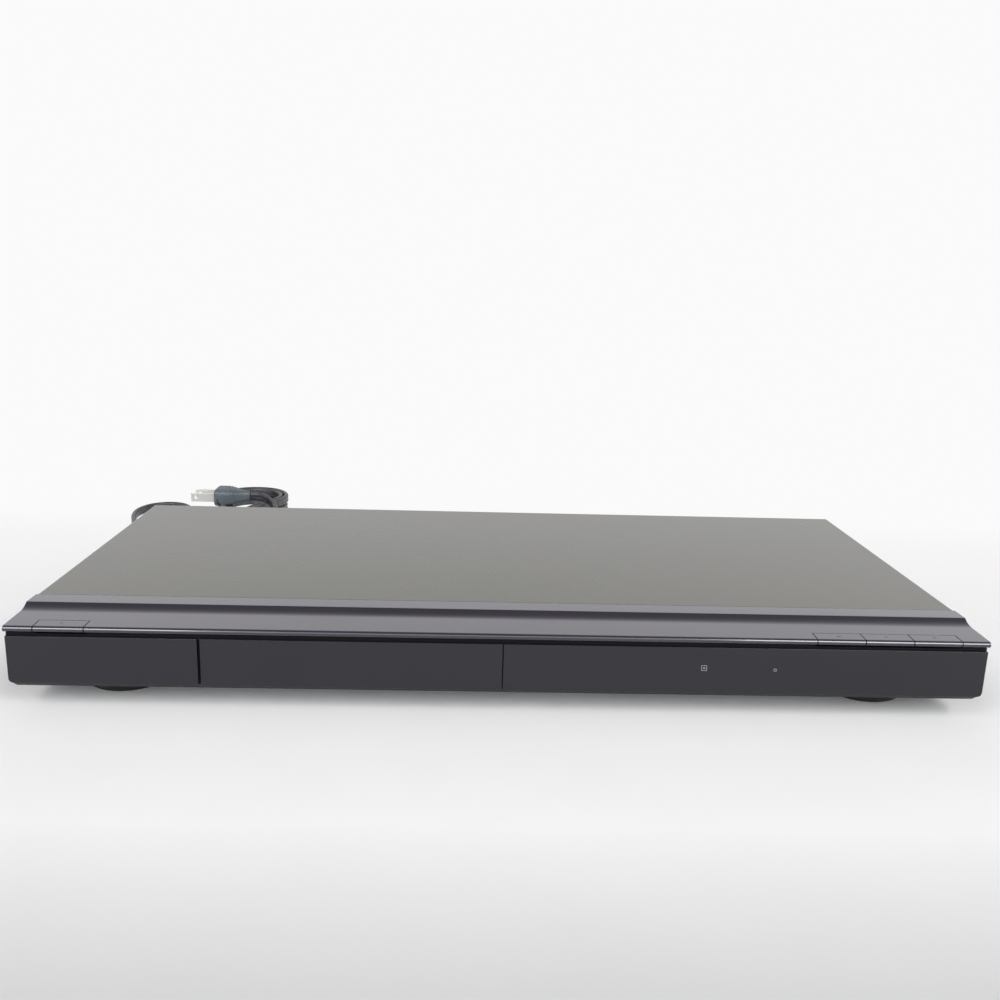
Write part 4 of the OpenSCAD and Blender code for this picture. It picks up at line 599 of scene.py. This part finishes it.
receiver = [bar(-1.3, -1.3, 1.3, -1.0), bar(-1.3, 1.0, 1.3, 1.3), bar(-1.3, -1.0, -1.0, 1.0),
            bar(1.0, -1.0, 1.3, 1.0), bar(-0.45, -0.45, 0.45, 0.45)]
indicator = [arc_band(0.45, 0.75, 0, 360, 28)]
for name, outlines, to_world in (("receiver_mark", receiver, on_window(0.0883, 0.0262)),
                                 ("indicator_mark", indicator, on_window(0.120, 0.0258))):
    mark(name, outlines, to_world, "player", window_ink)

# Feet
# Wide cups of satin black ABS, screwed up into the chassis, each standing on a ring of black
# felt.

# Spark-eroded in the tool, so it has a fine even grain, which is drawn 0.6 mm wide to show
foot_abs, place = new_finish("spark_grained_abs")
grain = add(foot_abs, "TexNoise", {"Scale": scale(0.6), "Detail": 3}, {"Vector": place})
tint = add(foot_abs, "ValToRGB", {"stops": ((0, "#1a1a1d"), (1, "#2a2a2e"))}, {"Fac": grain.outputs["Fac"]})
edge = add(foot_abs, "Bevel", {"Radius": 0.0004})
relief = add(foot_abs, "Bump", {"Strength": 0.3, "Distance": 0.0001},
             {"Height": grain.outputs["Fac"], "Normal": edge.outputs["Normal"]})
close(foot_abs, add(foot_abs, "BsdfPrincipled", {"Roughness": 0.42}, {
    "Base Color": tint.outputs["Color"], "Normal": relief.outputs["Normal"]}))
for node in ("front_feet", "rear_feet"):
    dress(node, foot_abs)
    soften(node)

# Pressed felt: matted fibres 0.4 mm apart, with no shine but a soft bloom at its edges
felt, place = new_finish("pressed_felt")
fibre = add(felt, "TexNoise", {"Scale": scale(0.4), "Detail": 5, "Roughness": 0.7}, {"Vector": place})
tint = add(felt, "ValToRGB", {"stops": ((0, "#222224"), (1, "#4c4c4e"))}, {"Fac": fibre.outputs["Fac"]})
relief = add(felt, "Bump", {"Strength": 0.8, "Distance": 0.0002}, {"Height": fibre.outputs["Fac"]})
close(felt, add(felt, "BsdfPrincipled", {"Roughness": 0.95, "Sheen Weight": 0.4}, {
    "Base Color": tint.outputs["Color"], "Normal": relief.outputs["Normal"]}))
dress("foot_pads", felt)

# Chassis, back panel and clamp bridge
# Sheet steel, stamped and folded. The chassis and the bridge are left bare, and the back panel is
# coated black.

# Zinc coating: pale crystals 7 mm wide, and clouds where the sheet has dulled
zinc_sheet, place = new_finish("zinc_coated_steel")
crystals = add(zinc_sheet, "TexVoronoi", {"Scale": scale(7)}, {"Vector": place})
clouds = add(zinc_sheet, "TexNoise", {"Scale": scale(30), "Detail": 4}, {"Vector": place})
mixed = add(zinc_sheet, "Mix", {"data_type": "FLOAT", 0: 0.6},
            {2: crystals.outputs["Color"], 3: clouds.outputs["Fac"]})
tint = add(zinc_sheet, "ValToRGB", {"stops": ((0, "#9a9ea2"), (1, "#c2c5c8"))}, {"Fac": mixed.outputs[0]})
gloss = add(zinc_sheet, "MapRange", {"To Min": 0.28, "To Max": 0.46}, {"Value": mixed.outputs[0]})
edge = add(zinc_sheet, "Bevel", {"Radius": 0.0003})
close(zinc_sheet, add(zinc_sheet, "BsdfPrincipled", {"Metallic": 1}, {
    "Base Color": tint.outputs["Color"], "Roughness": gloss.outputs["Result"],
    "Normal": edge.outputs["Normal"]}))
for node in ("bottom_chassis", "clamp_bridge"):
    dress(node, zinc_sheet)

# Black coating: low gloss, with a fine grit that is drawn 0.9 mm wide to show
back_paint, place = new_finish("black_coated_back")
grit = add(back_paint, "TexNoise", {"Scale": scale(0.9), "Detail": 3}, {"Vector": place})
tint = add(back_paint, "ValToRGB", {"stops": ((0, "#19191b"), (1, "#2b2b2d"))}, {"Fac": grit.outputs["Fac"]})
edge = add(back_paint, "Bevel", {"Radius": 0.0003})
relief = add(back_paint, "Bump", {"Strength": 0.25, "Distance": 0.0001},
             {"Height": grit.outputs["Fac"], "Normal": edge.outputs["Normal"]})
close(back_paint, add(back_paint, "BsdfPrincipled", {"Roughness": 0.4}, {
    "Base Color": tint.outputs["Color"], "Normal": relief.outputs["Normal"]}))
dress("rear_panel", back_paint)

# Loader, tray and pickup mouldings
# Black ABS and glass-filled polymer for the frames, the tray and the hub. The gears, the belt
# wheels, the cam and the clamper are ivory acetal, which slides and wears well.


def moulding(name, dark, light, rough, grain_mm):
    """Moulded plastic of one colour, with a fine grain and clouds of tone and gloss 12 mm wide."""
    finish, place = new_finish(name)
    grain = add(finish, "TexNoise", {"Scale": scale(grain_mm), "Detail": 3}, {"Vector": place})
    cloud = add(finish, "TexNoise", {"Scale": scale(12), "Detail": 3}, {"Vector": place})
    tint = add(finish, "ValToRGB", {"stops": ((0, dark), (1, light))}, {"Fac": cloud.outputs["Fac"]})
    gloss = add(finish, "MapRange", {"To Min": rough - 0.06, "To Max": rough + 0.08},
                {"Value": cloud.outputs["Fac"]})
    edge = add(finish, "Bevel", {"Radius": 0.0003})
    relief = add(finish, "Bump", {"Strength": 0.2, "Distance": 0.0001},
                 {"Height": grain.outputs["Fac"], "Normal": edge.outputs["Normal"]})
    return close(finish, add(finish, "BsdfPrincipled", {}, {
        "Base Color": tint.outputs["Color"], "Roughness": gloss.outputs["Result"],
        "Normal": relief.outputs["Normal"]}))


dress("loader_frame", moulding("black_loader_abs", "#17171a", "#242428", 0.45, 0.8))
dress("disc_tray", moulding("tray_abs", "#1c1c20", "#26262b", 0.38, 0.6))
dress("traverse_chassis", moulding("glass_filled_polymer", "#232427", "#34353a", 0.5, 0.7))
dress("turntable", moulding("hub_polymer", "#1a1a1c", "#262629", 0.35, 0.5))
ivory = moulding("acetal_ivory", "#d2ccbb", "#e6e1d3", 0.38, 0.5)
for node in ("drive_gear", "pulley_gear", "motor_pulley", "cam_slider", "sled_gear", "clamper"):
    dress(node, ivory)
for node in ("turntable", "clamper", "motor_pulley", "pulley_gear"):
    soften(node)

# Belt, rubber ring
# A loop of moulded rubber stretched round the two belt wheels, and a ring of it glued to the
# turntable, which grips the disc.

# Rubber: matt and black, with the dust that it collects in spots 1.5 mm wide
rubber, place = new_finish("moulded_rubber")
dust = add(rubber, "TexNoise", {"Scale": scale(1.5), "Detail": 4}, {"Vector": place})
tint = add(rubber, "ValToRGB", {"stops": ((0, "#0c0c0d"), (1, "#242426"))}, {"Fac": dust.outputs["Fac"]})
relief = add(rubber, "Bump", {"Strength": 0.3, "Distance": 0.0001}, {"Height": dust.outputs["Fac"]})
close(rubber, add(rubber, "BsdfPrincipled", {"Roughness": 0.78}, {
    "Base Color": tint.outputs["Color"], "Normal": relief.outputs["Normal"]}))
for node in ("drive_belt", "turntable_pad"):
    dress(node, rubber)

# Motors, rods, pickup and pinion
# Deep-drawn nickel-plated cans, ground steel rods, a die-cast pickup with its lens, and a turned
# brass pinion.


def bare_metal(name, dark, light, low, high, grain_mm):
    """Bare or plated metal with an uneven tone and polish."""
    finish, place = new_finish(name)
    grain = add(finish, "TexNoise", {"Scale": scale(grain_mm), "Detail": 4}, {"Vector": place})
    tint = add(finish, "ValToRGB", {"stops": ((0, dark), (1, light))}, {"Fac": grain.outputs["Fac"]})
    gloss = add(finish, "MapRange", {"To Min": low, "To Max": high}, {"Value": grain.outputs["Fac"]})
    edge = add(finish, "Bevel", {"Radius": 0.0002})
    return close(finish, add(finish, "BsdfPrincipled", {"Metallic": 1}, {
        "Base Color": tint.outputs["Color"], "Roughness": gloss.outputs["Result"],
        "Normal": edge.outputs["Normal"]}))


can_nickel = bare_metal("drawn_nickel_plate", "#a3a5a6", "#bfc0c0", 0.25, 0.42, 3)
for node in ("loading_motor", "spindle_motor", "sled_motor"):
    dress(node, can_nickel)
    soften(node)
dress("guide_rods", bare_metal("ground_steel_rod", "#b8babc", "#d4d5d6", 0.08, 0.18, 1.5))
soften("guide_rods")
dress("sled_pinion", bare_metal("turned_brass", "#b08d46", "#cfae66", 0.22, 0.35, 1))

# Coated glass: clear and sharp, with a blue bloom that is a little uneven
lens_glass, place = new_finish("coated_lens")
bloom = add(lens_glass, "TexNoise", {"Scale": scale(3), "Detail": 1}, {"Vector": place})
tint = add(lens_glass, "ValToRGB", {"stops": ((0, "#10163a"), (1, "#1d1f4c"))},
           {"Fac": bloom.outputs["Fac"]})
close(lens_glass, add(lens_glass, "BsdfPrincipled", {
    "Roughness": 0.04, "Coat Weight": 1.0, "Coat Tint": linear("#9aa6ff")}, {
    "Base Color": tint.outputs["Color"]}))
dress("pickup", bare_metal("die_cast_zinc", "#56585c", "#7a7c80", 0.4, 0.58, 0.9), lens_glass)

# The lens is the topmost 0.9 mm of the pickup.
lens_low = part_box("pickup")[1].z - 0.0009
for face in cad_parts["pickup"].data.polygons:
    if face.center.z > lens_low:
        face.material_index = 1

# Circuit boards and what is soldered on them
# Glass epoxy under green solder mask with its copper showing through, and a tan paper board for
# the power supply. Epoxy chips, sleeved capacitors, a taped transformer and a finned sink.


def board_finish(name, mask, copper):
    """Solder mask over copper traces, which show as a slightly lighter maze 4 mm wide."""
    finish, place = new_finish(name)
    traces = add(finish, "TexVoronoi", {"Scale": scale(4), "distance": "MANHATTAN"}, {"Vector": place})
    maze = add(finish, "ValToRGB", {"stops": ((0.45, mask), (0.5, copper))},
               {"Fac": traces.outputs["Distance"]})
    relief = add(finish, "Bump", {"Strength": 0.3, "Distance": 0.0001},
                 {"Height": traces.outputs["Distance"]})
    return close(finish, add(finish, "BsdfPrincipled", {"Roughness": 0.32}, {
        "Base Color": maze.outputs["Color"], "Normal": relief.outputs["Normal"]}))


green_mask = board_finish("green_solder_mask", "#14401f", "#1e5a2d")
for node in ("main_board", "key_boards", "front_board"):
    dress(node, green_mask)
dress("power_board", board_finish("tan_paper_board", "#8f6a37", "#a98245"))
dress("board_chips", moulding("chip_epoxy", "#141416", "#1f1f21", 0.55, 0.4))
dress("capacitors", moulding("capacitor_sleeve", "#16233a", "#22324c", 0.25, 2))
dress("transformer", moulding("taped_coil", "#a8842a", "#d0aa3c", 0.4, 2))
dress("heat_sink", bare_metal("extruded_aluminium", "#b9bbbd", "#d3d4d6", 0.3, 0.45, 2))
dress("key_switches", moulding("switch_housing", "#9b9da0", "#b4b6b8", 0.35, 0.6))
dress("display_module", moulding("smoked_display_glass", "#131b1e", "#1d282c", 0.12, 4))
dress("ir_receiver", moulding("dark_red_lens", "#1e0d10", "#2b1216", 0.15, 3))

# Sockets
# Nickel-plated pressed steel shells, and black phono blocks whose barrels are plated and whose
# bores are lined with a coloured plastic, by the usual code.
dress("hdmi_socket", bare_metal("plated_shell", "#bcbec0", "#d2d4d5", 0.16, 0.3, 2))
phono_black = moulding("phono_block_black", "#131314", "#1d1d1f", 0.42, 0.6)
barrel = bare_metal("plated_barrel", "#c2c3c4", "#d8d9da", 0.12, 0.25, 2)
liner_tints = {"green": ("#1d7a36", "#24903f"), "blue": ("#1c3fa8", "#2449bd"),
               "red": ("#a81a1e", "#bf2226"), "white": ("#dcdad3", "#ebe9e3"),
               "yellow": ("#d6a91c", "#e6bb2a"), "orange": ("#cc5f16", "#dc701f")}
liners = {name: moulding("liner_" + name, a, b, 0.35, 1) for name, (a, b) in liner_tints.items()}
codes = {"component_sockets": ("green", "blue", "red"), "line_sockets": ("white", "red", "yellow"),
         "digital_socket": ("orange",)}

# In metres: the spacing of the sockets, the first one's place in its block, the height of their
# middles, the radius of the lined bore, and the depth of a barrel's bright rim
pitch, first_in, socket_z, bore_r, rim = 0.014, 0.0066, 0.0236, 0.0034, 0.0004
# Faces in front of this, inside the case, stay black.
panel_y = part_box("rear_panel")[1].y - 0.0002
for node, colours in codes.items():
    dress(node, phono_black, barrel, *[liners[c] for c in colours])
    low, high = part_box(node)
    first = low.x + first_in
    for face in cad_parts[node].data.polygons:
        spot = face.center
        if spot.y < panel_y:
            continue
        i = min(len(colours) - 1, max(0, round((spot.x - first) / pitch)))
        away = math.hypot(spot.x - first - i * pitch, spot.z - socket_z)
        face.material_index = 1 if away > bore_r or spot.y > high.y - rim else 2 + i
    soften(node)

# Cables
# Flat film cables pushed into the sockets of the boards, and a harness of PVC wires with red
# sleeves.

# Polyester film: white and shiny, with its tinned conductors showing as grey lines. A wave's lines
# lie pi / 10 apart at a scale of 1, so these lie 1.24 mm apart.
film, place = new_finish("flat_film_cable")
lines = add(film, "TexWave", {"Scale": scale(1.26) / math.pi, "bands_direction": "X"}, {"Vector": place})
tint = add(film, "ValToRGB", {"stops": ((0, "#e4e4e0"), (1, "#b9bab8"))}, {"Fac": lines.outputs["Fac"]})
close(film, add(film, "BsdfPrincipled", {"Roughness": 0.3}, {"Base Color": tint.outputs["Color"]}))
dress("flat_cables", film)
dress("wire_harness", moulding("wire_pvc", "#8a1518", "#a81d20", 0.4, 1))

# Screws
# Pan-head steel screws with rolled threads: black oxide on the outside of the case, and yellow
# zinc inside.
dress("case_screws", bare_metal("black_oxide_steel", "#1d1d1f", "#2d2d30", 0.3, 0.45, 1))
yellow_zinc = bare_metal("yellow_zinc_steel", "#b39a55", "#cbb678", 0.28, 0.4, 1)
for node in ("loader_screws", "board_screws"):
    dress(node, yellow_zinc)

# Floor and backdrop
# A sheet of matt white paper on a table, curving up behind, with a greyer band of painted shade 0.36 m in
# front.
# It keeps the player's soft shadow in front, and behind it turns plain white for the camera and
# for what shines.


def looked_at(finish):
    """1 for what the camera, gloss and glass see, and 0 for what only lights."""
    ray = add(finish, "LightPath")
    seen = add(finish, "Math", {"operation": "MAXIMUM"},
               {0: ray.outputs["Is Camera Ray"], 1: ray.outputs["Is Glossy Ray"]})
    seen = add(finish, "Math", {"operation": "MAXIMUM"},
               {0: seen.outputs[0], 1: ray.outputs["Is Transmission Ray"]})
    return seen.outputs[0]


# Uncoated paper: dead matt, with cloudy fibre 50 mm wide
paper, place = new_finish("matt_white_paper")
fibre = add(paper, "TexNoise", {"Scale": scale(50), "Detail": 4}, {"Vector": place})
tint = add(paper, "ValToRGB", {"stops": ((0, "#efefef"), (1, "#f3f3f3"))}, {"Fac": fibre.outputs["Fac"]})

# In metres: the painted-shade band's distance in front, and where its even grey ends and the
# white begins
shade_band_ahead, shade_band_inner, shade_band_outer = 0.36, 0.06, 0.17
spot = add(paper, "SeparateXYZ", {}, {0: place})
shifted = add(paper, "Math", {"operation": "ADD", 1: shade_band_ahead}, {0: spot.outputs["Y"]})
away = add(paper, "Math", {"operation": "ABSOLUTE"}, {0: shifted.outputs[0]})
# Painted shade: the paper's colour is scaled down to 0.62 in the band and back to its own outside it.
shade = add(paper, "MapRange", {"From Min": shade_band_inner, "From Max": shade_band_outer, "To Min": 0.62,
                                "To Max": 1.0}, {"Value": away.outputs[0]})
shaded_tint = add(paper, "VectorMath", {"operation": "SCALE"},
            {0: tint.outputs["Color"], "Scale": shade.outputs["Result"]})
sheet = add(paper, "BsdfPrincipled", {"Roughness": 0.9, "Specular IOR Level": 0.1}, {
    "Base Color": shaded_tint.outputs["Vector"]})
far = add(paper, "MapRange", {"From Min": -0.1, "From Max": 0.25}, {"Value": spot.outputs["Y"]})
share = add(paper, "Math", {"operation": "MULTIPLY"}, {0: looked_at(paper), 1: far.outputs["Result"]})
plain = add(paper, "Emission", {"Color": linear("#fafafa"), "Strength": 1.0})
close(paper, add(paper, "MixShader", {}, {0: share.outputs[0], 1: sheet.outputs[0], 2: plain.outputs[0]}))

# The sheet's side view, in metres: flat, then a quarter circle, then upright
sheet_front, curve_y, curve_r, sheet_top, half_wide = -3.0, 1.4, 1.0, 1.7, 4.0
profile = [(sheet_front, 0.0), (curve_y, 0.0)]
for degrees in range(6, 91, 6):
    a = math.radians(degrees)
    profile.append((curve_y + curve_r * math.sin(a), curve_r - curve_r * math.cos(a)))
profile.append((curve_y + curve_r, sheet_top))
mesh = bpy.data.meshes.new("paper_sweep")
mesh.from_pydata([(x, y, z) for y, z in profile for x in (-half_wide, half_wide)], [],
                 [(2 * k, 2 * k + 1, 2 * k + 3, 2 * k + 2) for k in range(len(profile) - 1)])
for face in mesh.polygons:
    face.use_smooth = True
mesh.materials.append(paper)
sweep = bpy.data.objects.new("paper_sweep", mesh)
scene.collection.objects.link(sweep)

# Light
# A plain room gives an even low light, and is seen white, but greyer overhead. Two wide soft lamps
# in front, left and right, draw the light lines along the nose. A ceiling lamp lights the floor
# behind the viewer.
room = bpy.data.worlds.new("white_room")
scene.world = room
room.use_nodes = True
room.node_tree.nodes.clear()
seen = looked_at(room)
way = add(room, "TexCoord")
height = add(room, "SeparateXYZ", {}, {0: way.outputs["Generated"]})
dome = add(room, "MapRange", {"From Min": 0.45, "From Max": 0.85, "To Min": 1.0, "To Max": 0.38},
           {"Value": height.outputs["Z"]})
lit = add(room, "Background", {"Color": (0.26, 0.26, 0.27, 1), "Strength": 1.0})
white = add(room, "Background", {"Color": (1, 1, 1, 1)}, {"Strength": dome.outputs["Result"]})
both = add(room, "MixShader", {}, {0: seen, 1: lit.outputs[0], 2: white.outputs[0]})
add(room, "OutputWorld", {}, {"Surface": both.outputs[0]})
for name, spot, aim, size, power in (
        ("right_lamp", (1.25, -1.8, 1.55), (0, 0, 0.02), (1.2, 1.2), 45.0),
        ("left_lamp", (-1.25, -1.8, 1.55), (0, 0, 0.02), (1.2, 1.2), 35.5),
        ("ceiling_lamp", (0, -3.2, 1.9), (0, -3.2, 0), (2.5, 1.8), 22.0)):
    light = bpy.data.lights.new(name, "AREA")
    light.shape = "RECTANGLE"
    light.size, light.size_y = size
    light.energy = power
    lamp = bpy.data.objects.new(name, light)
    lamp.location = spot
    lamp.rotation_euler = (Vector(aim) - Vector(spot)).to_track_quat("-Z", "Y").to_euler()
    scene.collection.objects.link(lamp)
